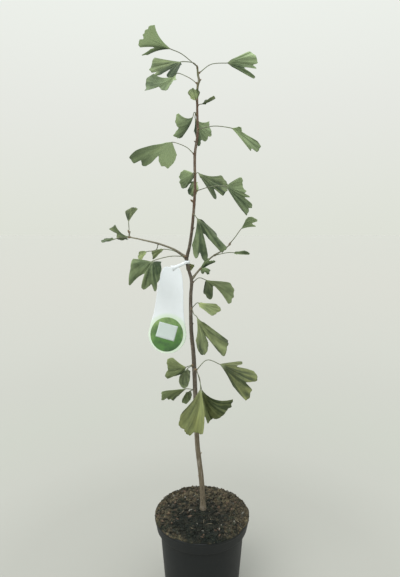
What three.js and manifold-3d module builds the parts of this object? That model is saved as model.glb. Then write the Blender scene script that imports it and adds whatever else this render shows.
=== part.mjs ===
// A young ginkgo tree in a round nursery pot, with a plain hang tag on its stem.
// Millimetres, +Z up. The origin is the centre of the pot's flat underside,
// +X is to the right and -Y is towards the viewer of the front view.
import * as THREE from "three";
import { mergeVertices } from "three/addons/utils/BufferGeometryUtils.js";
import Module from "manifold-3d";

const wasm = await Module();
wasm.setup();

// ---------------------------------------------------------------- driving dimensions

const clearance = 0.3; // between neighbouring solids

const pot = {
  height: 172,
  footRadius: 72.5,
  wallRadius: 85, // just under the collar
  collarHeight: 24,
  collarRadius: 92, // at the collar's lower edge
  rimRadius: 96,
  wall: 2,
  floor: 3,
  chamfer: 2, // at the foot and at the rim
  rimWidth: 2.6,
  segments: 40,
};

const soil = {
  crown: 179.5, // height of the flat patch round the stem
  flatRadius: 16,
  shoulder: 178, // height of the mound near the rim
  shoulderRadius: 86,
  edge: 172, // height where the mound meets the rim
};

const rootFlare = { height: 14, extra: 2.4 }; // the stem widens into the soil

// The stem's centre line: height, right, back, radius. It is cut flat where it meets the soil.
const stemLine = [
  [soil.crown - 8, 2.9, 0, 5.6],
  [241, -1, 1, 5.1],
  [314, -9.3, 2, 4.8],
  [408, -13, 2, 4.6],
  [500, -17, 0, 4.2],
  [551, -21.5, -1, 3.8],
  [618, -22.5, -1, 3.3],
  [650, -21, 0, 3.3],
  [672, -26.5, 1, 3.1],
  [692, -30.5, 0, 3.5],
  [718, -25, -1, 3.1],
  [752, -20, 0, 2.9],
  [830, -14, 2, 2.7],
  [900, -14, 1, 2.6],
  [938, -9, -1, 2.4],
  [990, -9.5, -1, 2.2],
  [1031, -8.5, 0, 2.1],
  [1042, -6, 0, 2.3],
  [1053, -8, 0, 2],
  [1067, -9, 0, 1.6],
];

// The two boughs: points of the centre line as right, back, height, and the two end radii.
const boughs = {
  bough_left: {
    line: [
      [-34, 0, 698.5],
      [-52, -3, 711],
      [-83, -7, 723.5],
      [-123, -11, 733.5],
      [-142, -12, 739],
      [-141, -12, 749],
    ],
    radii: [2.8, 1.7],
  },
  bough_right: {
    line: [
      [-18, 0, 656.5],
      [-2, 3, 675.5],
      [20, 7, 697.5],
      [40, 10, 709.5],
      [58, 12, 723.5],
    ],
    radii: [2.6, 1.5],
  },
};

const tag = {
  thickness: 0.9,
  discCentre: [-69, -7, 543.5],
  discRadius: 38,
  // half the label's width at heights above the disc's centre, up to its top edge
  taper: [
    [41, 29.5],
    [88, 26],
    [121, 21],
  ],
  length: 135,
  topHalfWidth: 14,
  tilt: 4, // degrees, the top leans to the right
  loopHeight: 687.5, // on the stem
  loopWidth: 7,
  loopWall: 1.1,
  loopSegments: 16,
};

const stemGrain = { steps: 52, sides: 9 }; // rings along a limb and sides round it
const boughGrain = { steps: 16, sides: 8 };
const stalk = { radius: 0.9, sides: 4, steps: 6, sunk: 7 }; // of every leaf
const spur = { radius: 1.9, length: 4.5, sides: 6 }; // the short shoot that carries the stalks
const blade = {
  neck: 3, // radius where the blade's two edges start
  thickness: 0.9,
  edge: 0.86, // share of the length that the outer corners reach
  cuneate: 0.25, // how far the sides pinch in towards the stalk
  ripple: 0.035, // share of the length by which the margin waves in its own plane
  rippleWaves: [9, 17],
  ruffle: 0.03, // share of the length by which the margin lifts out of its plane
  ruffleWaves: 7,
  lobeSteps: 4, // vertices across each lobe
  plainSteps: 5, // vertices across a blade without clefts
  longLength: 50, // a longer blade has three rings of faces, a shorter one two
};

// The masses of foliage from the tip down. Each has one short shoot on a limb, at a height on the
// stem or at a share of a bough's length, that faces `turn` degrees round from +X and `rise` up.
// A leaf's blade starts at `base` and runs along `heading` degrees in the XZ plane, leaning
// `lean` towards the viewer and rolled about its length; `fold` closes its two halves, `droop`
// bends it along its length, `fullness` squares its lobes, and each cleft has a place from -1 to 1
// across the fan and a depth as a share of the length. The stalk passes through `via`.
const masses = [
  {
    name: "foliage_01", on: "stem", at: 1064, turn: 250, rise: 60,
    leaves: [
      { base: [-59, -20, 1094], via: [-40, -11, 1089], heading: 159, lean: 10, roll: -65,
        length: 62, spread: 87, fold: 2, droop: -20, fullness: 4.1,
        clefts: [[-0.75, 0.1], [-0.2, 0.15], [0.6, 0.75]] },
      { base: [-38, -62, 1056], via: [-17, -34, 1064], heading: -142, lean: 35, roll: 23,
        length: 61, spread: 75, fold: 29, droop: 27, fullness: 1.8,
        clefts: [[0.25, 0.55], [0.55, 0.15]] },
    ],
  },
  {
    name: "foliage_02", on: "stem", at: 1055, turn: 30, rise: 35,
    leaves: [
      { base: [50, 28, 1085], via: [18, 15, 1078], heading: 2, lean: -15, roll: -7,
        length: 65, spread: 66, fold: 0, droop: -8, fullness: 1.6,
        clefts: [[-0.55, 0.6], [-0.1, 0.1]] },
    ],
  },
  {
    name: "foliage_03", on: "stem", at: 1035, turn: 150, rise: 35,
    leaves: [
      { base: [-51, 38, 1068], via: [-26, 21, 1054], heading: -129, lean: -11, roll: 53,
        length: 74, spread: 106, fold: 16, droop: -48, fullness: 6,
        clefts: [[0.3, 0.4], [0.65, 0.55]] },
    ],
  },
  {
    name: "foliage_04", on: "stem", at: 1001, turn: 250, rise: 20,
    leaves: [
      { base: [-12, -18, 1000], heading: 99, lean: 26, roll: 61,
        length: 24, spread: 149, fold: 7, droop: 54, fullness: 2, clefts: [[0.2, 0.1]] },
    ],
  },
  {
    name: "foliage_05", on: "stem", at: 994, turn: 70, rise: 20,
    leaves: [
      { base: [-2, 20, 1002], heading: 12, lean: -18, roll: -82,
        length: 31, spread: 110, fold: 17, droop: -26, fullness: 3.4, clefts: [] },
    ],
  },
  {
    name: "foliage_06", on: "stem", at: 974, turn: 240, rise: 30,
    leaves: [
      { base: [-17, -30, 967], via: [-15, -16, 977], heading: -103, lean: 26, roll: -84,
        length: 59, spread: 95, fold: -22, droop: 49, fullness: 3.7, clefts: [[-0.4, 0.15]] },
    ],
  },
  {
    name: "foliage_07", on: "stem", at: 980, turn: 100, rise: 30,
    leaves: [
      { base: [-14, 36, 979], via: [-13, 20, 984], heading: -85, lean: -55, roll: -64,
        length: 61, spread: 82, fold: 14, droop: -49, fullness: 2, clefts: [[-0.7, 0.15]] },
    ],
  },
  {
    name: "foliage_08", on: "stem", at: 946, turn: 300, rise: 20,
    leaves: [
      { base: [54, -45, 941], via: [23, -25, 949], heading: -40, lean: 35, roll: 80,
        length: 71, spread: 59, fold: 19, droop: 9, fullness: 3.4, clefts: [[0.6, 0.85]] },
    ],
  },
  {
    name: "foliage_09", on: "stem", at: 898, turn: 130, rise: 40,
    leaves: [
      { base: [-61, 42, 931], via: [-32, 23, 918], heading: -162, lean: -38, roll: -75,
        length: 96, spread: 106, fold: 7, droop: -23, fullness: 1.6,
        clefts: [[-0.2, 0.1], [0.25, 0.4]] },
    ],
  },
  {
    name: "foliage_10", on: "stem", at: 862, turn: 260, rise: 25,
    leaves: [
      { base: [-17, -34, 859], heading: -129, lean: 7, roll: -68,
        length: 35, spread: 150, fold: -13, droop: -1, fullness: 5.2, clefts: [[0.75, 0.1]] },
    ],
  },
  {
    name: "foliage_11", on: "stem", at: 858, turn: 80, rise: 25,
    leaves: [
      { base: [-14, 34, 851], heading: -102, lean: -4, roll: 64,
        length: 32, spread: 147, fold: 0, droop: 0, fullness: 5.2, clefts: [] },
      { base: [-8, 26, 867], heading: -34, lean: -2, roll: -41,
        length: 70, spread: 66, fold: -5, droop: 3, fullness: 5.9, clefts: [[-0.6, 0.5]] },
    ],
  },
  {
    name: "foliage_12", on: "stem", at: 827, turn: 310, rise: 15,
    leaves: [
      { base: [45, -38, 834], via: [19, -21, 835], heading: -36, lean: 49, roll: 59,
        length: 74, spread: 76, fold: 9, droop: 4, fullness: 4.4, clefts: [[-0.1, 0.15], [0.5, 0.2]] },
    ],
  },
  {
    name: "foliage_13", on: "stem", at: 780, turn: 275, rise: 25,
    leaves: [
      { base: [-10, -36, 774], via: [-14, -20, 780], heading: -46, lean: 2, roll: -59,
        length: 87, spread: 118, fold: -25, droop: 4, fullness: 2.2,
        clefts: [[-0.3, 0.7], [0.1, 0.25]] },
    ],
  },
  {
    name: "foliage_14", on: "bough_left", at: 0.97, turn: 190, rise: 60,
    leaves: [
      { base: [-146, 4, 767], via: [-145, 2, 753], heading: 83, lean: -36, roll: -36,
        length: 38, spread: 58, fold: -7, droop: 2, fullness: 5.7, clefts: [[-0.1, 0.1]] },
    ],
  },
  {
    name: "foliage_15", on: "bough_left", at: 0.9, turn: 170, rise: -10,
    leaves: [
      { base: [-147, 0, 739], heading: 178, lean: -34, roll: -34,
        length: 49, spread: 65, fold: -25, droop: 16, fullness: 1.9, clefts: [[0.15, 0.3]] },
      { base: [-168, -34, 734], via: [-156, -19, 737], heading: -179, lean: 27, roll: 88,
        length: 26, spread: 150, fold: -1, droop: 25, fullness: 3.5, clefts: [] },
    ],
  },
  {
    name: "foliage_16", on: "bough_left", at: 0.45, turn: 120, rise: 0,
    leaves: [
      { base: [-113, 26, 707], via: [-93, 14, 711], heading: -142, lean: -34, roll: 34,
        length: 27, spread: 65, fold: -9, droop: -2, fullness: 2.3, clefts: [] },
    ],
  },
  {
    name: "foliage_17", on: "stem", at: 699, turn: 225, rise: 0,
    leaves: [
      { base: [-96, -34, 691], via: [-62, -19, 700], heading: -104, lean: 51, roll: 6,
        length: 62, spread: 138, fold: 55, droop: 70, fullness: 1.9,
        clefts: [[-0.35, 0.5], [0.15, 0.25]] },
    ],
  },
  {
    name: "foliage_18", on: "stem", at: 694, turn: 125, rise: 0,
    leaves: [
      { base: [-76, 28, 698], via: [-53, 15, 701], heading: 159, lean: -20, roll: 40,
        length: 34, spread: 58, fold: -23, droop: 29, fullness: 1.8, clefts: [] },
    ],
  },
  {
    name: "foliage_19", on: "stem", at: 677, turn: 60, rise: 20,
    leaves: [
      { base: [-28, 18, 685], heading: -107, lean: -26, roll: -83,
        length: 24, spread: 130, fold: 46, droop: -31, fullness: 3.3, clefts: [[-0.1, 0.65]] },
    ],
  },
  {
    name: "foliage_20", on: "bough_right", at: 0.96, turn: 30, rise: 60,
    leaves: [
      { base: [77, -2, 753], via: [67, -1, 739], heading: 35, lean: 12, roll: 47,
        length: 37, spread: 70, fold: -2, droop: -11, fullness: 1.6, clefts: [[-0.75, 0.4]] },
    ],
  },
  {
    name: "foliage_21", on: "bough_right", at: 0.6, turn: 60, rise: 0,
    leaves: [
      { base: [67, 44, 704], via: [51, 24, 705], heading: -14, lean: -11, roll: 74,
        length: 31, spread: 119, fold: -11, droop: 15, fullness: 2.3, clefts: [] },
    ],
  },
  {
    name: "foliage_22", on: "bough_right", at: 0.22, turn: 290, rise: 10,
    leaves: [
      { base: [-2, -16, 676], heading: 40, lean: 39, roll: 53,
        length: 34, spread: 51, fold: -10, droop: -4, fullness: 4.5, clefts: [[-0.25, 0.3]] },
    ],
  },
  {
    name: "foliage_23", on: "bough_right", at: 0.3, turn: 90, rise: -30,
    leaves: [
      { base: [-1, 22, 675], heading: -47, lean: -46, roll: 27,
        length: 25, spread: 70, fold: -32, droop: -9, fullness: 5.2, clefts: [[-0.25, 0.4]] },
    ],
  },
  {
    name: "foliage_24", on: "stem", at: 645, turn: 50, rise: 20,
    leaves: [
      { base: [8, 34, 648], via: [-6, 19, 654], heading: -37, lean: -17, roll: 57,
        length: 68, spread: 127, fold: -3, droop: -24, fullness: 1.7, clefts: [[-0.35, 0.7]] },
    ],
  },
  {
    name: "foliage_25", on: "stem", at: 592, turn: 290, rise: 35,
    leaves: [
      { base: [-8, -26, 610], via: [-16, -14, 602], heading: -23, lean: 9, roll: -65,
        length: 44, spread: 71, fold: -3, droop: -8, fullness: 3.1, clefts: [] },
      { base: [-10, -30, 583], via: [-16, -16, 586], heading: -63, lean: 23, roll: -66,
        length: 92, spread: 99, fold: 5, droop: -5, fullness: 2, clefts: [[-0.15, 0.55], [0.8, 0.1]] },
    ],
  },
  {
    name: "foliage_26", on: "stem", at: 464, turn: 40, rise: 35,
    leaves: [
      { base: [37, 24, 474], via: [10, 13, 486], heading: -26, lean: -16, roll: -68,
        length: 91, spread: 99, fold: -20, droop: -14, fullness: 2.9,
        clefts: [[-0.45, 0.3], [0.5, 0.8]] },
      { base: [-1, 26, 422], via: [-6, 14, 448], heading: -92, lean: -27, roll: -44,
        length: 87, spread: 115, fold: 55, droop: -46, fullness: 4.8, clefts: [[0.05, 0.1]] },
    ],
  },
  {
    name: "foliage_27", on: "stem", at: 468, turn: 300, rise: 35,
    leaves: [
      { base: [-3, -30, 442], via: [-5, -16, 458], heading: -95, lean: 36, roll: -64,
        length: 88, spread: 90, fold: 5, droop: 35, fullness: 2.1,
        clefts: [[-0.05, 0.1], [0.5, 0.1]] },
    ],
  },
  {
    name: "foliage_28", on: "stem", at: 478, turn: 235, rise: 25,
    leaves: [
      { base: [-31, -26, 483], heading: 174, lean: 48, roll: 1,
        length: 47, spread: 63, fold: -11, droop: 18, fullness: 3.3, clefts: [[-0.25, 0.1]] },
    ],
  },
  {
    name: "foliage_29", on: "stem", at: 474, turn: 130, rise: 20,
    leaves: [
      { base: [-30, 20, 466], heading: -123, lean: -3, roll: -71,
        length: 41, spread: 141, fold: -1, droop: -61, fullness: 1.9, clefts: [] },
    ],
  },
  {
    name: "foliage_30", on: "stem", at: 424, turn: 115, rise: 20,
    leaves: [
      { base: [-33, 34, 419], heading: -155, lean: -25, roll: -49,
        length: 58, spread: 61, fold: -3, droop: -21, fullness: 1.9, clefts: [] },
      { base: [-25, 26, 417], heading: -132, lean: -19, roll: -68,
        length: 28, spread: 103, fold: 0, droop: -63, fullness: 3.2, clefts: [] },
    ],
  },
];

const colours = {
  pot: 0x2b2e2e,
  soil: 0x3c3629,
  bark: 0x6a5f55,
  leaf: 0x6b8a5a,
  tag: 0xeef2f2,
};

// ---------------------------------------------------------------- solids

const radians = THREE.MathUtils.degToRad;

// A closed geometry as a solid that can be joined and cut.
function solidOf(geometry) {
  const bare = new THREE.BufferGeometry();
  bare.setAttribute("position", geometry.getAttribute("position"));
  if (geometry.index) bare.setIndex(geometry.index);
  const merged = mergeVertices(bare, 1e-4);
  return new wasm.Manifold(
    new wasm.Mesh({
      numProp: 3,
      vertProperties: merged.attributes.position.array,
      triVerts: new Uint32Array(merged.index.array),
    }),
  );
}

function geometryOf(solid) {
  const mesh = solid.getMesh();
  const geometry = new THREE.BufferGeometry();
  geometry.setAttribute("position", new THREE.BufferAttribute(mesh.vertProperties, 3));
  geometry.setIndex(new THREE.BufferAttribute(mesh.triVerts, 1));
  return geometry;
}

function largestBody(solid) {
  return solid.decompose().reduce((a, b) => (a.volume() > b.volume() ? a : b));
}

function touches(solid, others) {
  return others.some((other) => solid.intersect(other).volume() > 0);
}

// A profile of [radius, height] pairs turned round the Z axis.
function turned(profile, segments) {
  const points = profile.map(([radius, height]) => new THREE.Vector2(radius, height));
  return new THREE.LatheGeometry(points, segments).rotateX(Math.PI / 2);
}

// A closed tube round a curve, whose radius is radiusAt(share of the length).
function limb(curve, radiusAt, { steps, sides }) {
  const frames = curve.computeFrenetFrames(steps, false);
  const positions = [];
  const index = [];
  for (let i = 0; i <= steps; i++) {
    const centre = curve.getPointAt(i / steps);
    const radius = radiusAt(i / steps);
    for (let j = 0; j < sides; j++) {
      const angle = (2 * Math.PI * j) / sides;
      const point = centre
        .clone()
        .addScaledVector(frames.normals[i], radius * Math.cos(angle))
        .addScaledVector(frames.binormals[i], radius * Math.sin(angle));
      positions.push(...point.toArray());
    }
  }
  positions.push(...curve.getPointAt(0).toArray(), ...curve.getPointAt(1).toArray());
  const first = (steps + 1) * sides;
  for (let j = 0; j < sides; j++) {
    const next = (j + 1) % sides;
    for (let i = 0; i < steps; i++) {
      const a = i * sides + j;
      const b = i * sides + next;
      index.push(a, b, b + sides, a, b + sides, a + sides);
    }
    index.push(first, next, j);
    index.push(first + 1, steps * sides + j, steps * sides + next);
  }
  const geometry = new THREE.BufferGeometry();
  geometry.setAttribute("position", new THREE.Float32BufferAttribute(positions, 3));
  geometry.setIndex(index);
  return geometry;
}

// ---------------------------------------------------------------- pot and soil

const collarBottom = pot.height - pot.collarHeight;
const innerRim = pot.rimRadius - pot.rimWidth;

function potGeometry() {
  const { height, footRadius, wallRadius, collarRadius, rimRadius, wall, floor, chamfer } = pot;
  return turned(
    [
      [0, 0],
      [footRadius - chamfer, 0],
      [footRadius, chamfer],
      [wallRadius, collarBottom - chamfer],
      [collarRadius, collarBottom],
      [rimRadius, height - 3 * chamfer],
      [rimRadius, height - chamfer / 2],
      [rimRadius - chamfer / 2, height],
      [innerRim, height],
      [collarRadius - wall, collarBottom + wall],
      [wallRadius - wall, collarBottom],
      [footRadius - wall, floor],
      [0, floor],
    ],
    pot.segments,
  );
}

function soilGeometry() {
  const inset = pot.wall + clearance * 1.5;
  return turned(
    [
      [0, pot.floor + clearance],
      [pot.footRadius - inset, pot.floor + clearance],
      [pot.wallRadius - inset, collarBottom],
      [pot.collarRadius - inset, collarBottom + pot.wall],
      [innerRim - clearance * 1.5, soil.edge],
      [soil.shoulderRadius, soil.shoulder],
      [soil.shoulderRadius * 0.6, soil.crown - 0.8],
      [soil.flatRadius, soil.crown],
      [0, soil.crown],
    ],
    pot.segments,
  );
}

// ---------------------------------------------------------------- stem and boughs

const stemCurve = new THREE.CatmullRomCurve3(
  stemLine.map(([height, right, back]) => new THREE.Vector3(right, back, height)),
  false,
  "centripetal",
);

// A value of the stem line's column at a height, in straight steps.
function stemValue(height, column) {
  const above = stemLine.findIndex((row) => row[0] >= height);
  const i = Math.max(above === -1 ? stemLine.length - 1 : above, 1);
  const [low, high] = [stemLine[i - 1], stemLine[i]];
  const share = THREE.MathUtils.clamp((height - low[0]) / (high[0] - low[0]), 0, 1);
  return THREE.MathUtils.lerp(low[column], high[column], share);
}

const foot = soil.crown + clearance;

function stemPoint(height) {
  return new THREE.Vector3(stemValue(height, 1), stemValue(height, 2), height);
}

function stemRadius(height) {
  const above = (height - foot) / rootFlare.height;
  return stemValue(height, 3) + rootFlare.extra * Math.exp(-above * above * 3);
}

// The stem, or with `extra` the room that its neighbours keep clear of.
function stemSolid(extra) {
  const radiusAt = (share) => stemRadius(stemCurve.getPointAt(share).z) + extra;
  return solidOf(limb(stemCurve, radiusAt, stemGrain)).trimByPlane([0, 0, 1], foot);
}

const boughCurves = Object.fromEntries(
  Object.entries(boughs).map(([name, { line }]) => [
    name,
    new THREE.CatmullRomCurve3(line.map((point) => new THREE.Vector3(...point)), false, "centripetal"),
  ]),
);

function boughRadius(name, share) {
  const [thick, thin] = boughs[name].radii;
  return THREE.MathUtils.lerp(thick, thin, share);
}

function boughSolid(name, extra) {
  return solidOf(limb(boughCurves[name], (share) => boughRadius(name, share) + extra, boughGrain));
}

// ---------------------------------------------------------------- leaves

masses
  .flatMap((mass) => mass.leaves)
  .forEach((leaf, i) => {
    leaf.number = i + 1;
  });

// A repeatable angle for a leaf and a draw.
function phase(leaf, draw) {
  const value = Math.sin(leaf.number * 12.9898 + draw * 78.233) * 43758.5453;
  return 2 * Math.PI * (value - Math.floor(value));
}

// The places across the fan, -1 to 1, where the blade has vertices.
function fanPlaces({ clefts }) {
  const edges = [-1, ...clefts.map(([place]) => place), 1];
  const steps = clefts.length ? blade.lobeSteps : blade.plainSteps;
  const places = [];
  for (let lobe = 1; lobe < edges.length; lobe++)
    for (let k = 0; k < steps; k++)
      places.push(THREE.MathUtils.lerp(edges[lobe - 1], edges[lobe], k / steps));
  return [...places, 1];
}

// How far the margin reaches at a place across the fan, as a share of the blade's length.
function margin(leaf, place) {
  const edges = [[-1, 1 - blade.edge], ...leaf.clefts, [1, 1 - blade.edge]];
  const lobe = Math.max(1, edges.findIndex(([edge]) => edge >= place - 1e-9));
  const [[left, leftDepth], [right, rightDepth]] = [edges[lobe - 1], edges[lobe]];
  const across = (2 * place - left - right) / (right - left);
  const depth = across < 0 ? leftDepth : rightDepth;
  const [long, short] = blade.rippleWaves.map((waves, i) => Math.sin(waves * place + phase(leaf, i + 1)));
  const ripple = blade.ripple * (0.5 + 0.25 * (long + short));
  return 1 - depth * Math.abs(across) ** leaf.fullness - ripple;
}

// The axes of a blade: along its length, across it, and out of its face.
function bladeAxes({ heading, lean, roll }) {
  const level = Math.cos(radians(lean));
  const along = new THREE.Vector3(
    Math.cos(radians(heading)) * level,
    -Math.sin(radians(lean)),
    Math.sin(radians(heading)) * level,
  );
  const across = new THREE.Vector3(-Math.sin(radians(heading)), 0, Math.cos(radians(heading)));
  across.applyAxisAngle(along, radians(roll));
  const out = new THREE.Vector3().crossVectors(along, across);
  return { along, across, out };
}

// A point of the blade's middle surface: `place` across the fan and `share` of the way out.
function bladePoint(leaf, axes, place, share) {
  const radius = THREE.MathUtils.lerp(blade.neck, leaf.length * margin(leaf, place), share);
  const angle = radians(leaf.spread / 2) * place * (1 - blade.cuneate * (1 - share));
  const forward = radius * Math.cos(angle);
  const side = radius * Math.sin(angle);
  const ruffle = blade.ruffle * share ** 2 * Math.sin(blade.ruffleWaves * place + phase(leaf, 3));
  const rise = (Math.hypot(side, blade.neck) - blade.neck) * Math.sin(radians(leaf.fold));
  const lift = rise + leaf.length * ruffle;
  const bend = radians(leaf.droop);
  const turn = (bend * forward) / leaf.length;
  const bent = bend ? leaf.length / bend : 0;
  const ahead = bend ? bent * Math.sin(turn) : forward;
  const down = bend ? bent * (1 - Math.cos(turn)) : 0;
  return new THREE.Vector3(...leaf.base)
    .addScaledVector(axes.along, ahead + lift * Math.sin(turn))
    .addScaledVector(axes.across, side * Math.cos(radians(leaf.fold)))
    .addScaledVector(axes.out, lift * Math.cos(turn) - down);
}

// The blade: its middle surface in rings from the neck out, thickened to both sides.
function bladeGeometry(leaf) {
  const axes = bladeAxes(leaf);
  const places = fanPlaces(leaf);
  const rings = leaf.length > blade.longLength ? 3 : 2;
  const rows = [];
  for (let ring = 0; ring <= rings; ring++)
    rows.push(places.map((place) => bladePoint(leaf, axes, place, ring / rings)));
  const last = places.length - 1;
  const top = [];
  const bottom = [];
  rows.forEach((row, ring) =>
    row.forEach((point, i) => {
      const acrossRow = row[Math.min(i + 1, last)].clone().sub(row[Math.max(i - 1, 0)]);
      const outwards = rows[Math.min(ring + 1, rings)][i].clone().sub(rows[Math.max(ring - 1, 0)][i]);
      const normal = outwards.cross(acrossRow).normalize();
      top.push(point.clone().addScaledVector(normal, blade.thickness / 2));
      bottom.push(point.clone().addScaledVector(normal, -blade.thickness / 2));
    }),
  );
  const width = places.length;
  const under = top.length;
  const index = [];
  const quad = (a, b, c, d) => index.push(a, b, c, a, c, d);
  for (let ring = 0; ring < rings; ring++) {
    const start = ring * width;
    const end = start + last;
    for (let a = start; a < end; a++) {
      quad(a, a + width, a + width + 1, a + 1);
      quad(under + a, under + a + 1, under + a + width + 1, under + a + width);
    }
    quad(start, under + start, under + start + width, start + width);
    quad(end, end + width, under + end + width, under + end);
  }
  for (let i = 0; i < last; i++) {
    const rim = rings * width + i;
    quad(i, i + 1, under + i + 1, under + i);
    quad(rim, under + rim, under + rim + 1, rim + 1);
  }
  const geometry = new THREE.BufferGeometry();
  const positions = [...top, ...bottom].flatMap((point) => point.toArray());
  geometry.setAttribute("position", new THREE.Float32BufferAttribute(positions, 3));
  geometry.setIndex(index);
  return geometry;
}

// The stalk from the short shoot to just inside the blade.
function stalkGeometry(leaf, root) {
  const { along } = bladeAxes(leaf);
  const base = new THREE.Vector3(...leaf.base);
  const points = [root];
  if (leaf.via) points.push(new THREE.Vector3(...leaf.via));
  points.push(base, base.clone().addScaledVector(along, stalk.sunk));
  const curve = new THREE.CatmullRomCurve3(points, false, "centripetal");
  return limb(curve, () => stalk.radius, stalk);
}

// Where a mass's short shoot starts, inside its limb, and the way that it points.
function shootOf({ on, at, turn, rise }) {
  const direction = new THREE.Vector3(
    Math.cos(radians(turn)) * Math.cos(radians(rise)),
    Math.sin(radians(turn)) * Math.cos(radians(rise)),
    Math.sin(radians(rise)),
  );
  if (on === "stem") return { centre: stemPoint(at), direction, depth: stemRadius(at) };
  return { centre: boughCurves[on].getPointAt(at), direction, depth: boughRadius(on, at) };
}

// A mass: its short shoot and its leaves in one solid, cut clear of the limbs. A leaf whose blade
// would touch a limb, or that would touch a solid that is already placed, is skipped.
function massSolid(mass, limbRoom, placed) {
  const { centre, direction, depth } = shootOf(mass);
  const end = centre.clone().addScaledVector(direction, depth + spur.length);
  const root = end.clone().addScaledVector(direction, -spur.length / 2);
  const shoot = new THREE.LineCurve3(centre, end);
  let solid = solidOf(limb(shoot, () => spur.radius, { steps: 1, sides: spur.sides }));
  for (const leaf of mass.leaves) {
    const bladeBody = solidOf(bladeGeometry(leaf));
    const whole = solidOf(stalkGeometry(leaf, root)).add(bladeBody);
    if (touches(bladeBody, limbRoom) || touches(whole, placed)) continue;
    solid = solid.add(whole);
  }
  for (const room of limbRoom) solid = solid.subtract(room);
  return largestBody(solid);
}

// ---------------------------------------------------------------- hang tag

// The label's outline from its disc up to its narrow top, in its own plane.
function tagShape() {
  const { discRadius, taper, length, topHalfWidth } = tag;
  const [, topSide] = taper[taper.length - 1];
  const shape = new THREE.Shape();
  shape.absarc(0, 0, discRadius, Math.PI, 2 * Math.PI, false);
  for (const [height, halfWidth] of taper) shape.lineTo(halfWidth, height);
  shape.quadraticCurveTo(topSide * 0.9, length, topHalfWidth, length);
  shape.lineTo(-topHalfWidth, length);
  shape.quadraticCurveTo(-topSide * 0.9, length, -topSide, taper[taper.length - 1][0]);
  for (const [height, halfWidth] of [...taper].reverse().slice(1)) shape.lineTo(-halfWidth, height);
  shape.closePath();
  return shape;
}

function tagSolid(stemRoom) {
  const { thickness, discCentre, length, tilt, loopHeight, loopWidth, loopWall, loopSegments } = tag;
  const plate = new THREE.ExtrudeGeometry(tagShape(), {
    depth: thickness,
    bevelEnabled: false,
    curveSegments: 20,
  });
  plate.rotateX(Math.PI / 2).rotateY(radians(tilt)).translate(...discCentre);
  const top = new THREE.Vector3(Math.sin(radians(tilt)), 0, Math.cos(radians(tilt)))
    .multiplyScalar(length - loopWidth / 2)
    .add(new THREE.Vector3(...discCentre));
  const stemCentre = stemPoint(loopHeight);
  const inner = stemRadius(loopHeight) + clearance * 1.5;
  const ring = turned(
    [
      [inner, -loopWidth / 2],
      [inner + loopWall, -loopWidth / 2],
      [inner + loopWall, loopWidth / 2],
      [inner, loopWidth / 2],
      [inner, -loopWidth / 2],
    ],
    loopSegments,
  ).translate(...stemCentre.toArray());
  const strapEnd = stemCentre.clone().add(new THREE.Vector3(0, -inner - loopWall / 2, 0));
  const middle = top.clone().lerp(strapEnd, 0.5);
  const strap = new THREE.BoxGeometry(top.distanceTo(strapEnd) + 2 * loopWall, loopWall, loopWidth);
  const run = strapEnd.clone().sub(top).normalize();
  strap.applyQuaternion(new THREE.Quaternion().setFromUnitVectors(new THREE.Vector3(1, 0, 0), run));
  strap.translate(...middle.toArray());
  return solidOf(plate).add(solidOf(strap)).add(solidOf(ring)).subtract(stemRoom);
}

// ---------------------------------------------------------------- the whole plant

const group = new THREE.Group();

function place(name, geometry, colour, roughness) {
  const material = new THREE.MeshStandardMaterial({ color: colour, roughness, metalness: 0 });
  const mesh = new THREE.Mesh(geometry, material);
  mesh.name = name;
  group.add(mesh);
}

place("pot", potGeometry(), colours.pot, 0.55);
place("soil", soilGeometry(), colours.soil, 1);

const stem = stemSolid(0);
const stemRoom = stemSolid(clearance);
place("trunk", geometryOf(stem), colours.bark, 0.85);

const limbRoom = [stemRoom];
for (const name of Object.keys(boughs)) {
  const bough = boughSolid(name, 0).subtract(stemRoom);
  place(name, geometryOf(largestBody(bough)), colours.bark, 0.85);
  limbRoom.push(boughSolid(name, clearance));
}

const hangTag = largestBody(tagSolid(stemRoom));
place("hang_tag", geometryOf(hangTag), colours.tag, 0.5);

const placed = [hangTag];
for (const mass of masses) {
  const solid = massSolid(mass, limbRoom, placed);
  placed.push(solid);
  place(mass.name, geometryOf(solid), colours.leaf, 0.7);
}

export default group;
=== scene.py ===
import math

import bpy
import numpy as np
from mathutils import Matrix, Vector, noise


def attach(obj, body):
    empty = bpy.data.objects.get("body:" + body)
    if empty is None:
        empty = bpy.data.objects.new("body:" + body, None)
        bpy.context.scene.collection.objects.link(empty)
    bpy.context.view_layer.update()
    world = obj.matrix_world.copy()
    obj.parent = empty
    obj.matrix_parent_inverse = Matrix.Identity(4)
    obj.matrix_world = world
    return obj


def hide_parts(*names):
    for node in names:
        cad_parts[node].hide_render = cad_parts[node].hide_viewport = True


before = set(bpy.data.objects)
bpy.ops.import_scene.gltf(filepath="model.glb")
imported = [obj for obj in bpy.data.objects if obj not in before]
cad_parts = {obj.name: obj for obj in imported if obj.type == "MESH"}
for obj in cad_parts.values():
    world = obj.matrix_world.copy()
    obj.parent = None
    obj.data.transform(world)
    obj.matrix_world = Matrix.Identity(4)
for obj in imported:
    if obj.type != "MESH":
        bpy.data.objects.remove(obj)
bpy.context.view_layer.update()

# A young ginkgo in a nursery pot. Sizes are in millimetres and angles in degrees, and a shader's
# places and distances are in metres. The origin is the centre of the pot's underside, +X is right
# and -Y is towards the viewer.
millimetre = 0.001
chance = np.random.default_rng(11)


# Colours and the nodes that shade a surface.

def tone(code):
    # a web colour as the linear colour that a shader takes
    parts = [int(code[i:i + 2], 16) / 255 for i in (1, 3, 5)]
    return (*[p / 12.92 if p <= 0.04045 else ((p + 0.055) / 1.055) ** 2.4 for p in parts], 1.0)


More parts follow.
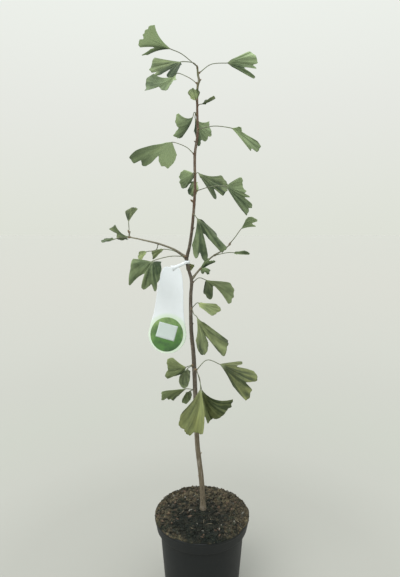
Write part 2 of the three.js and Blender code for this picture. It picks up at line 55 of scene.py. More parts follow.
def sumOf(operation, swapped=False):
    # one operator of a Wire, which adds a Math node
    def result(wire, other):
        first, second = (other, wire) if swapped else (wire, other)
        return wire.shading.node("ShaderNodeMath", {"operation": operation}, {0: first, 1: second})
    return result


class Wire:
    # a node's socket that can be used in sums
    def __init__(self, shading, socket):
        self.shading, self.socket = shading, socket

    __add__, __radd__ = sumOf("ADD"), sumOf("ADD", swapped=True)
    __sub__, __rsub__ = sumOf("SUBTRACT"), sumOf("SUBTRACT", swapped=True)
    __mul__, __rmul__ = sumOf("MULTIPLY"), sumOf("MULTIPLY", swapped=True)
    __truediv__, __rtruediv__ = sumOf("DIVIDE"), sumOf("DIVIDE", swapped=True)
    __pow__, __rpow__ = sumOf("POWER"), sumOf("POWER", swapped=True)


class Shading:
    # the nodes of a material or of the world, and the shader that they feed
    def __init__(self, owner, shader):
        owner.use_nodes = True
        self.tree = owner.node_tree
        self.shader = self.tree.nodes[shader]

    def give(self, node, sockets):
        for key, value in sockets.items():
            if isinstance(value, Wire):
                self.tree.links.new(value.socket, node.inputs[key])
            else:
                node.inputs[key].default_value = value

    def node(self, kind, settings, sockets, output=0):
        made = self.tree.nodes.new(kind)
        for key, value in settings.items():
            if key == "stops":
                ramp = made.color_ramp.elements
                while len(ramp) < len(value):
                    ramp.new(1.0)
                for element, (place, code) in zip(ramp, value):
                    element.position, element.color = place, tone(code)
            else:
                setattr(made, key, value)
        self.give(made, sockets)
        return Wire(self, made.outputs[output])


class Finish(Shading):
    # one material
    def __init__(self, name, roughness, specular, coat=0.0):
        self.material = bpy.data.materials.new(name)
        super().__init__(self.material, "Principled BSDF")
        self.give(self.shader, {
            "Roughness": roughness, "Specular IOR Level": specular, "Coat Weight": coat})
        # places on the plant, in metres
        self.place = self.node("ShaderNodeTexCoord", {}, {}, "Object")

    def stretched(self, x, y, z):
        return self.node("ShaderNodeMapping", {}, {"Vector": self.place, "Scale": (x, y, z)})

    def distance(self, point):
        # in metres, from a point given in millimetres
        sockets = {0: self.place, 1: [millimetre * value for value in point]}
        return self.node("ShaderNodeVectorMath", {"operation": "DISTANCE"}, sockets, "Value")

    def noise(self, scale, detail=3.0, vector=None, roughness=0.55):
        return self.node("ShaderNodeTexNoise", {}, {
            "Vector": vector or self.place, "Scale": scale, "Detail": detail,
            "Roughness": roughness}, "Fac")

    def cells(self, scale, vector=None):
        sockets = {"Vector": vector or self.place, "Scale": scale}
        return self.node("ShaderNodeTexVoronoi", {}, sockets, "Distance")

    def fade(self, value, low, high, start=0.0, end=1.0):
        # start below low, end above high and a smooth step between them
        return self.node("ShaderNodeMapRange", {"interpolation_type": "SMOOTHSTEP"}, {
            "Value": value, "From Min": low, "From Max": high, "To Min": start, "To Max": end})

    def blend(self, share, first, second):
        # colours by socket or web code
        first, second = [tone(c) if isinstance(c, str) else c for c in (first, second)]
        sockets = {0: share, 6: first, 7: second}
        return self.node("ShaderNodeMix", {"data_type": "RGBA"}, sockets, 2)

    def look(self, colour, height, depth, roughness=None):
        # colour, relief with its depth in millimetres, and roughness where it changes
        relief = {"Height": height, "Distance": depth * millimetre}
        looks = {"Base Color": colour, "Normal": self.node("ShaderNodeBump", {}, relief)}
        self.give(self.shader, {**looks, "Roughness": roughness} if roughness else looks)
        return self


def mottledFinish(name, dark, light, scale, low, high, depth, roughness, specular, grainScale=0):
    # two colours in soft patches, with a relief of the same patches or of a finer grain
    finish = Finish(name, roughness, specular)
    patches = finish.noise(scale)
    relief = finish.noise(grainScale, 2) if grainScale else patches
    return finish.look(finish.blend(finish.fade(patches, low, high), dark, light), relief, depth)


# Meshes.

def placed(name, data):
    thing = bpy.data.objects.new(name, data)
    bpy.context.scene.collection.objects.link(thing)
    return thing


def addPiece(name, parts, finishes, finishOf=None, layers=None, smooth=True):
    # parts as (points in millimetres, faces), finishOf as the number of each part's finish, and
    # layers as values for the points, by name
    faces, partOf, offset = [], [], 0
    for number, (points, partFaces) in enumerate(parts):
        faces += [tuple(i + offset for i in face) for face in partFaces]
        partOf += [number] * len(partFaces)
        offset += len(points)
    mesh = bpy.data.meshes.new(name)
    points = np.vstack([part[0] for part in parts]) * millimetre
    mesh.from_pydata(points.tolist(), [], faces)
    for finish in finishes:
        mesh.materials.append(finish.material)
    if finishOf is not None:
        mesh.polygons.foreach_set("material_index", np.array(finishOf, np.int32)[partOf])
    for key, values in (layers or {}).items():
        layer = mesh.attributes.new(key, "FLOAT", "POINT")
        layer.data.foreach_set("value", np.asarray(values, np.float32))
    mesh.polygons.foreach_set("use_smooth", np.full(len(mesh.polygons), smooth))
    mesh.validate()
    piece = placed(name, mesh)
    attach(piece, "root")
    return piece


def grid(rows, columns, closed=False, start=0):
    # four-sided faces between rows of points
    faces = []
    for row in range(rows - 1):
        for i in range(columns if closed else columns - 1):
            a, b = [start + row * columns + k % columns for k in (i, i + 1)]
            faces.append((a, b, b + columns, a + columns))
    return faces


def capped(rings, first, last):
    # rows of rings as one closed body, with a point at each end
    count, sides = rings.shape[:2]
    bottom, end = count * sides, (count - 1) * sides
    faces = grid(count, sides, closed=True)
    for i in range(sides):
        after = (i + 1) % sides
        faces += [(bottom, after, i), (bottom + 1, end + i, end + after)]
    return np.vstack([rings.reshape(-1, 3), [first, last]]), faces


def skinned(back, front):
    # two grids of points, one close behind the other, as one closed thin body
    rows, columns = back.shape[:2]
    count = rows * columns
    faces = [(a, d, c, b) for a, b, c, d in grid(rows, columns)] + grid(rows, columns, start=count)
    border = [(i, i + 1) for i in range(columns - 1)]
    border += [((k + 1) * columns - 1, (k + 2) * columns - 1) for k in range(rows - 1)]
    border += [(count - 1 - i, count - 2 - i) for i in range(columns - 1)]
    border += [((rows - 1 - k) * columns, (rows - 2 - k) * columns) for k in range(rows - 1)]
    faces += [(a, b, b + count, a + count) for a, b in border]
    return np.vstack([back.reshape(-1, 3), front.reshape(-1, 3)]), faces


def circle(count):
    return np.linspace(0, 2 * math.pi, count, endpoint=False)


def ringOf(radius, height, count, x=0.0, y=0.0):
    angle = circle(count)
    return np.stack([x + radius * np.cos(angle), y + radius * np.sin(angle),
                     np.full_like(angle, height)], axis=1)


def smoothLine(points, count):
    # a smooth line through the points, as `count` points evenly spaced along it
    points = np.array(points, float)
    whole = np.vstack([2 * points[0] - points[1], points, 2 * points[-1] - points[-2]])
    u = np.linspace(0, 1, 24, endpoint=False)[:, None]
    line = []
    for i in range(len(points) - 1):
        p0, p1, p2, p3 = whole[i:i + 4]
        d0, d1, d2 = [max(math.sqrt(np.linalg.norm(b - a)), 1e-3)
                      for a, b in ((p0, p1), (p1, p2), (p2, p3))]
        leave = ((p1 - p0) / d0 - (p2 - p0) / (d0 + d1) + (p2 - p1) / d1) * d1
        arrive = ((p2 - p1) / d1 - (p3 - p1) / (d1 + d2) + (p3 - p2) / d2) * d1
        line.append(p1 + leave * u + (3 * (p2 - p1) - 2 * leave - arrive) * u ** 2
                    + (2 * (p1 - p2) + leave + arrive) * u ** 3)
    line = np.vstack([*line, points[-1:]])
    steps = np.linalg.norm(np.diff(line, axis=0), axis=1)
    along = np.concatenate([[0], np.cumsum(steps)])
    even = np.linspace(0, along[-1], count)
    return np.stack([np.interp(even, along, line[:, k]) for k in range(3)], axis=1)


def ringAxes(line):
    # two directions across the line at each of its points, turned as little as can be
    ahead = np.gradient(line, axis=0)
    ahead /= np.linalg.norm(ahead, axis=1, keepdims=True)
    start = np.array([1.0, 0, 0]) if abs(ahead[0][0]) < 0.9 else np.array([0, 1.0, 0])
    first = []
    for way in ahead:
        start = start - way * (start @ way)
        start = start / np.linalg.norm(start)
        first.append(start)
    first = np.array(first)
    return first, np.cross(ahead, first)


def tube(line, radius, sides):
    # a closed tube; radius is one per point, or one per point and side
    first, second = ringAxes(line)
    angle = circle(sides)
    radius = np.asarray(radius, float).reshape(len(line), -1)
    rings = (line[:, None]
             + first[:, None] * (radius * np.cos(angle))[..., None]
             + second[:, None] * (radius * np.sin(angle))[..., None])
    return capped(rings, line[0], line[-1])


def turned(profile, segments):
    # (radius, height) pairs turned round the Z axis; the first and the last lie on it
    rings = np.array([ringOf(radius, height, segments) for radius, height in profile[1:-1]])
    return capped(rings, (0, 0, profile[0][1]), (0, 0, profile[-1][1]))


def rounded(profile, radius, steps=4):
    # the profile with its corners rounded
    corners = [np.array(p, float) for p in profile]
    line = [corners[0]]
    for before, corner, after in zip(corners, corners[1:], corners[2:]):
        ways = [other - corner for other in (before, after)]
        sides = [np.linalg.norm(way) for way in ways]
        reach = min(radius, 0.45 * min(sides))
        start, end = [corner + way / side * reach for way, side in zip(ways, sides)]
        for u in np.linspace(0, 1, steps + 1):
            line.append((1 - u) ** 2 * start + 2 * u * (1 - u) * corner + u ** 2 * end)
    return [*line, corners[-1]]


def grain(points, size, layers=3):
    # smooth noise from about -1 to 1 at each point, with lumps of that size
    return np.array([noise.fractal(Vector(p) / size, 1.0, 2.0, layers) for p in points])


def turnAbout(axis, angle):
    # a rotation about X, Y or Z, numbered from 0
    i, j = (axis + 1) % 3, (axis + 2) % 3
    c, s = math.cos(angle), math.sin(angle)
    matrix = np.eye(3)
    matrix[[i, i, j, j], [i, j, i, j]] = c, -s, s, c
    return matrix


# The pot.

pot = {
    "height": 172, "footRadius": 72.5, "wallRadius": 85, "collarHeight": 24, "collarRadius": 92,
    "rimRadius": 96, "rimWidth": 2.6, "wall": 2, "insideDepth": 30, "corner": 1.1, "segments": 192,
    "black": "#111516", "faded": "#1b2122", "dust": "#31322d", "roughness": 0.5,
}


def potFinish():
    finish = Finish("blackPlastic", pot["roughness"], 0.34)
    cloud = finish.noise(22, 4)
    streak = finish.noise(1, 3, finish.stretched(90, 90, 6))
    dust = finish.fade(cloud * 0.6 + streak * 0.4, 0.5, 0.66, 0, 0.4)
    specks = finish.fade(finish.noise(420, 2), 0.64, 0.7, 0, 0.3)
    plastic = finish.blend(dust, pot["black"], pot["faded"])
    return finish.look(finish.blend(specks, plastic, pot["dust"]),
                       finish.noise(900, 2) * 0.4 + finish.noise(60), 0.12,
                       0.4 + 0.22 * cloud + 0.1 * streak)


def makePot():
    foot, wall, collar, rim, top = [pot[key] for key in (
        "footRadius", "wallRadius", "collarRadius", "rimRadius", "height")]
    ledge, inside = top - pot["collarHeight"], top - pot["insideDepth"]
    outline = [
        (0, 2.2), (foot - 7, 2.2), (foot - 9, 0), (foot - 1.5, 0), (foot, 1.8), (wall, ledge - 2.4),
        (wall + 1.2, ledge - 0.8), (collar - 0.6, ledge), (collar, ledge + 1.4),
        (rim - 0.7, top - 6.5), (rim, top - 5.2), (rim, top - 1.2), (rim - 1, top),
        (rim - pot["rimWidth"], top - 0.3), (collar - pot["wall"] - 1, ledge + 3),
        (wall - pot["wall"], inside), (0, inside),
    ]
    body = turned(rounded(outline, pot["corner"]), pot["segments"])
    piece = addPiece("potBody", [body], [potFinish()])
    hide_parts("pot")


makePot()
print("pot made")


# The potting mix and what lies on it.

soil = {
    "profile": [(0, 179.2), (16, 179.3), (50, 178.7), (78, 178.2), (88, 177), (93, 174.8),
                (95.6, 173), (96.4, 171.3)],
    # unevenness: height, size, layers of noise and where it is taken from
    "lumps": [(1.7, 19, 3, 0), (1.5, 8, 2, 90), (0.6, 3.6, 2, 50)],
    "rings": 90, "centreRing": 0.015, "segments": 260, "depth": 30, "edge": 95,
    # how much the edge is out of round, how many waves that is, and their shift
    "edgeWaves": [(0.006, 5, 1), (0.005, 13, 0)],
    "stemAt": (2.5, 0), "moundHeight": 1.3, "moundWidth": 13,
    "dryFrom": (0, -32, 178), "dampAt": (-6, -50, 178),
    "peat": "#22221e", "brown": "#463f33", "wet": "#1a201d", "moss": "#373d30",
    "ochre": "#6a614b", "grey": "#4b4c46", "bark": "#5d4c3e", "pale": "#77756b",
    "straw": "#857b66", "fibre": "#454c39",
}


def soilHeight(x, y):
    x, y = np.asarray(x, float), np.asarray(y, float)
    radius = np.hypot(x, y)
    height = np.interp(radius, *zip(*soil["profile"]))
    flat = np.stack([x, y, np.zeros_like(x)], axis=-1).reshape(-1, 3)
    lumps = sum(high * grain(flat + shift, size, layers)
                for high, size, layers, shift in soil["lumps"]).reshape(x.shape)
    away = np.hypot(x - soil["stemAt"][0], y - soil["stemAt"][1])
    mound = soil["moundHeight"] * np.exp(-(away / soil["moundWidth"]) ** 2)
    # calmer by the stem and by the rim
    calm = np.clip((away - 6) / 12, 0.15, 1) * np.clip((soil["edge"] + 2 - radius) / 8, 0.35, 1)
    return height + mound + lumps * calm


def soilFinish(name, base, spread):
    # the mixed ground, or with little spread one kind of crumb
    finish = Finish(name, 0.95, 0.1)
    broad = finish.noise(28)
    middle = finish.noise(110, 3, finish.stretched(1, 1.3, 1))
    fine = finish.noise(420, 3, roughness=0.6)
    # drier and browner toward the left, back and right, damp in front of the stem
    patches = 0.09 * (broad - 0.5) + 0.06 * (middle - 0.5)
    dry = finish.distance(soil["dryFrom"]) + patches
    damp = finish.distance(soil["dampAt"]) + 0.05 * (broad - 0.5)
    mixed = base
    for share, colour in (
            (finish.fade(middle, 0.42, 0.62, 0, 0.8), soil["brown"]),
            (finish.fade(broad, 0.5, 0.36, 0, spread), soil["wet"]),
            (finish.fade(dry, 0.052, 0.088, 0, spread),
             finish.blend(finish.fade(middle, 0.4, 0.6), soil["brown"], soil["ochre"])),
            (finish.fade(finish.noise(60, 2), 0.56, 0.66, 0, 0.7 * spread), soil["moss"]),
            (finish.fade(finish.noise(190, 1), 0.58, 0.68, 0, 0.55), soil["grey"]),
            (finish.fade(damp, 0.064, 0.035, 0, 0.7), soil["wet"]),
            (finish.fade(fine, 0.62, 0.4, 0, 0.45), soil["peat"])):
        mixed = finish.blend(share, mixed, colour)
    return finish.look(mixed, fine + 0.5 * finish.cells(330), 0.8)


def makeGround():
    segments = soil["segments"]
    angle = circle(segments)
    outer = soil["profile"][-1][0]
    radius = outer * np.linspace(soil["centreRing"], 1, soil["rings"])[:, None] ** 0.8
    waves = sum(high * np.sin(count * angle + shift) for high, count, shift in soil["edgeWaves"])
    wobble = 1 + waves * (radius / outer) ** 6
    x, y = radius * wobble * np.cos(angle), radius * wobble * np.sin(angle)
    top = np.stack([x, y, soilHeight(x, y)], axis=2)[::-1]
    rim, floor = pot["rimRadius"] - pot["rimWidth"] - 0.3, pot["height"] - soil["depth"] + 0.3
    sides = [ringOf(r, z, segments) for r, z in (
        (1, floor), (84, floor), (rim - 1, pot["height"] - 8), (rim, pot["height"] + 0.2))]
    mound = capped(np.concatenate([sides, top]), (0, 0, floor), (0, 0, float(soilHeight(0, 0))))
    finish = soilFinish("pottingMix", soil["peat"], 1.0)
    piece = addPiece("soilMound", [mound], [finish])
    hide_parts("soil")


def scattered(count, inner=0, outer=soil["edge"], clear=6.4, lean=0.0):
    # places on the ground, clear of the stem; lean draws them to the front right
    spots = []
    while len(spots) < count:
        x, y = chance.uniform(-outer, outer, 2)
        apart = math.hypot(x - soil["stemAt"][0], y - soil["stemAt"][1]) > clear
        drawn = chance.random() < 1 - lean * (0.5 + 0.35 * (y - 0.6 * x) / outer)
        if inner < math.hypot(x, y) < outer and apart and drawn:
            spots.append((x, y))
    spots = np.array(spots)
    return np.column_stack([spots, soilHeight(spots[:, 0], spots[:, 1])])


def randomTurn(flat=1.0):
    # a random rotation; flat below 1 keeps the piece near level
    tilt = chance.normal(0, 1) * flat
    roll = chance.normal(0, 1) * flat
    spin = chance.uniform(0, 2 * math.pi)
    return turnAbout(2, spin) @ turnAbout(0, tilt) @ turnAbout(1, roll)


def lumpShape():
    # a twenty-sided lump of unit size
    golden = (1 + math.sqrt(5)) / 2
    upright = [(-1, golden, 0), (1, golden, 0), (-1, -golden, 0), (1, -golden, 0)]
    corners = np.vstack([np.roll(upright, k, axis=1) for k in range(3)])
    faces = [(0, 11, 5), (0, 5, 1), (0, 1, 7), (0, 7, 10), (0, 10, 11), (1, 5, 9), (5, 11, 4),
             (11, 10, 2), (10, 7, 6), (7, 1, 8), (3, 9, 4), (3, 4, 2), (3, 2, 6), (3, 6, 8),
             (3, 8, 9), (4, 9, 5), (2, 4, 11), (6, 2, 10), (8, 6, 7), (9, 8, 1)]
    return corners / math.hypot(1, golden), faces


def bitFinish(name, colour):
    light = tone(soil[colour])
    dark = (*[0.55 * c for c in light[:3]], 1.0)
    return mottledFinish(name, dark, light, 240, 0.35, 0.65, 0.3, 0.85, 0.3)


# loose crumbs of the mix, more of them round the rim, and a little pale grit
crumb = {
    "count": 2600, "nearRim": 800, "rimRing": (86, 96), "grit": 45, "gritClear": 14,
    "least": 0.7, "growth": 3.2, "gritSize": (0.4, 0.8),
    "stretch": (0.6, 1.3), "rough": 0.14, "sunk": 0.2,
    "kinds": ["peat", "brown", "wet", "moss", "bark", "ochre", "grey"],
}


def makeCrumbs():
    corners, lumpFaces = lumpShape()
    kinds = crumb["kinds"]
    finishes = [soilFinish(kind + "Crumb", soil[kind], 0.25) for kind in kinds]
    finishes.append(bitFinish("paleGrit", "pale"))
    parts, finishOf = [], []
    spots = np.vstack([scattered(crumb["count"]), scattered(crumb["nearRim"], *crumb["rimRing"]),
                       scattered(crumb["grit"], clear=crumb["gritClear"])])
    for i, spot in enumerate(spots):
        grit = i >= len(spots) - crumb["grit"]
        if grit:
            size = chance.uniform(*crumb["gritSize"])
        else:
            size = crumb["least"] + crumb["growth"] * chance.random() ** 4
        size *= min(1, 0.45 + (pot["rimRadius"] - math.hypot(spot[0], spot[1])) / 14)
        stretch = size * chance.uniform(*crumb["stretch"], 3)
        rough = 1 + chance.normal(0, crumb["rough"], (len(corners), 1))
        lump = (corners * rough * stretch) @ randomTurn().T + spot + [0, 0, crumb["sunk"] * size]
        parts.append((lump, lumpFaces))
        east, north = spot[:2] / soil["edge"]
        damp = math.exp(-((east + 0.15) ** 2 + (north + 0.3) ** 2) / 0.18)
        # how often each kind lies there, in the order of the kinds
        weights = np.array([
            1.3 + damp, 0.85 + 0.2 * north - 0.4 * damp, 0.9 - 0.7 * north + 1.4 * damp,
            0.6 - 0.3 * north, 0.16 - 0.1 * east - 0.05 * damp,
            max(0.04, 0.3 * abs(east) + 0.25 * north), 0.3 - 0.2 * damp])
        kind = len(kinds) if grit else chance.choice(len(kinds), p=weights / weights.sum())
        finishOf.append(kind)
    addPiece("soilCrumbs", parts, finishes, finishOf, smooth=False)


# flat flakes of bark that lie on the mix
chip = {
    "count": 90, "length": (2.2, 5.5), "width": (1.2, 2.6), "thick": (0.35, 0.8), "lift": 0.8,
    "kinds": {"barkChipWarm": "bark", "barkChipBrown": "brown", "barkChipGrey": "pale"},
    "shares": [0.35, 0.45, 0.2],
}


def makeChips():
    finishes = [bitFinish(*kind) for kind in chip["kinds"].items()]
    parts, finishOf = [], []
    for spot in scattered(chip["count"], outer=90, clear=12):
        sides = int(chance.integers(5, 8))
        angle = np.sort(chance.uniform(0, 2 * math.pi, sides)) * 0.5
        angle = angle + np.linspace(0, math.pi, sides)
        length, width, thick = [chance.uniform(*chip[key]) for key in ("length", "width", "thick")]
        ring = np.column_stack([length * np.cos(angle), width * np.sin(angle), np.zeros(sides)])
        outline = np.vstack([ring + [0, 0, -thick], ring * [1, 1, 0] * 0.94 + [0, 0, thick]])
        faces = [tuple(range(sides))[::-1], tuple(range(sides, 2 * sides))]
        faces += grid(2, sides, closed=True)
        parts.append((outline @ randomTurn(0.3).T + spot + [0, 0, chip["lift"]], faces))
        finishOf.append(chance.choice(3, p=chip["shares"]))
    addPiece("barkChips", parts, finishes, finishOf, smooth=False)


# short moss shoots, thickest at the front right, some over the rim
strand = {
    "count": 1300, "edge": 95.8, "reach": (1.6, 4.2), "rise": (0.3, 1.1),
    "radii": [0.34, 0.32, 0.28, 0.22, 0.1],
    "kinds": {"mossGreen": "fibre", "mossDark": "moss", "mossOchre": "ochre"},
}


def randomHeading():
    heading = chance.uniform(0, 2 * math.pi)
    return np.array([math.cos(heading), math.sin(heading), 0])


def makeStrands():
    finishes = [bitFinish(*kind) for kind in strand["kinds"].items()]
    parts, finishOf = [], []
    for spot in scattered(strand["count"], outer=strand["edge"], lean=0.5):
        reach = chance.uniform(*strand["reach"])
        ahead = randomHeading()
        rise = chance.uniform(*strand["rise"])
        middle = spot + ahead * reach * 0.45 + [0, 0, reach * 0.4 * rise]
        end = spot + ahead * reach + [0, 0, reach * 0.25 * rise]
        line = smoothLine([spot - [0, 0, 0.5], middle, end], len(strand["radii"]))
        parts.append(tube(line, strand["radii"], 3))
        warm = max(0.05, 0.4 * spot[0] / soil["edge"])
        finishOf.append(chance.choice(3, p=[0.5 - warm / 2, 0.5 - warm / 2, warm]))
    addPiece("mossStrands", parts, finishes, finishOf)


# dead stalks and straw on the mix
straw = {"count": 12, "halfLength": (4, 9), "radii": (0.55, 0.3), "steps": 9, "sides": 6}


def makeStraws():
    parts = []
    for spot in scattered(straw["count"], outer=86, clear=14):
        length = chance.uniform(*straw["halfLength"])
        ahead = randomHeading() * length
        ends = np.array([spot - ahead, spot + ahead * 0.1, spot + ahead])
        ends[:, 2] = soilHeight(ends[:, 0], ends[:, 1]) + [0.4, 1.2, 0.5]
        ends[:, :2] *= np.minimum(1, 93 / np.hypot(ends[:, 0], ends[:, 1]))[:, None]
        radius = np.linspace(*straw["radii"], straw["steps"])
        parts.append(tube(smoothLine(ends, straw["steps"]), radius, straw["sides"]))
    addPiece("strawBits", parts, [bitFinish("deadStraw", "straw")])


makeGround()
makeCrumbs()
makeChips()
makeStrands()
makeStraws()
print("soil made")


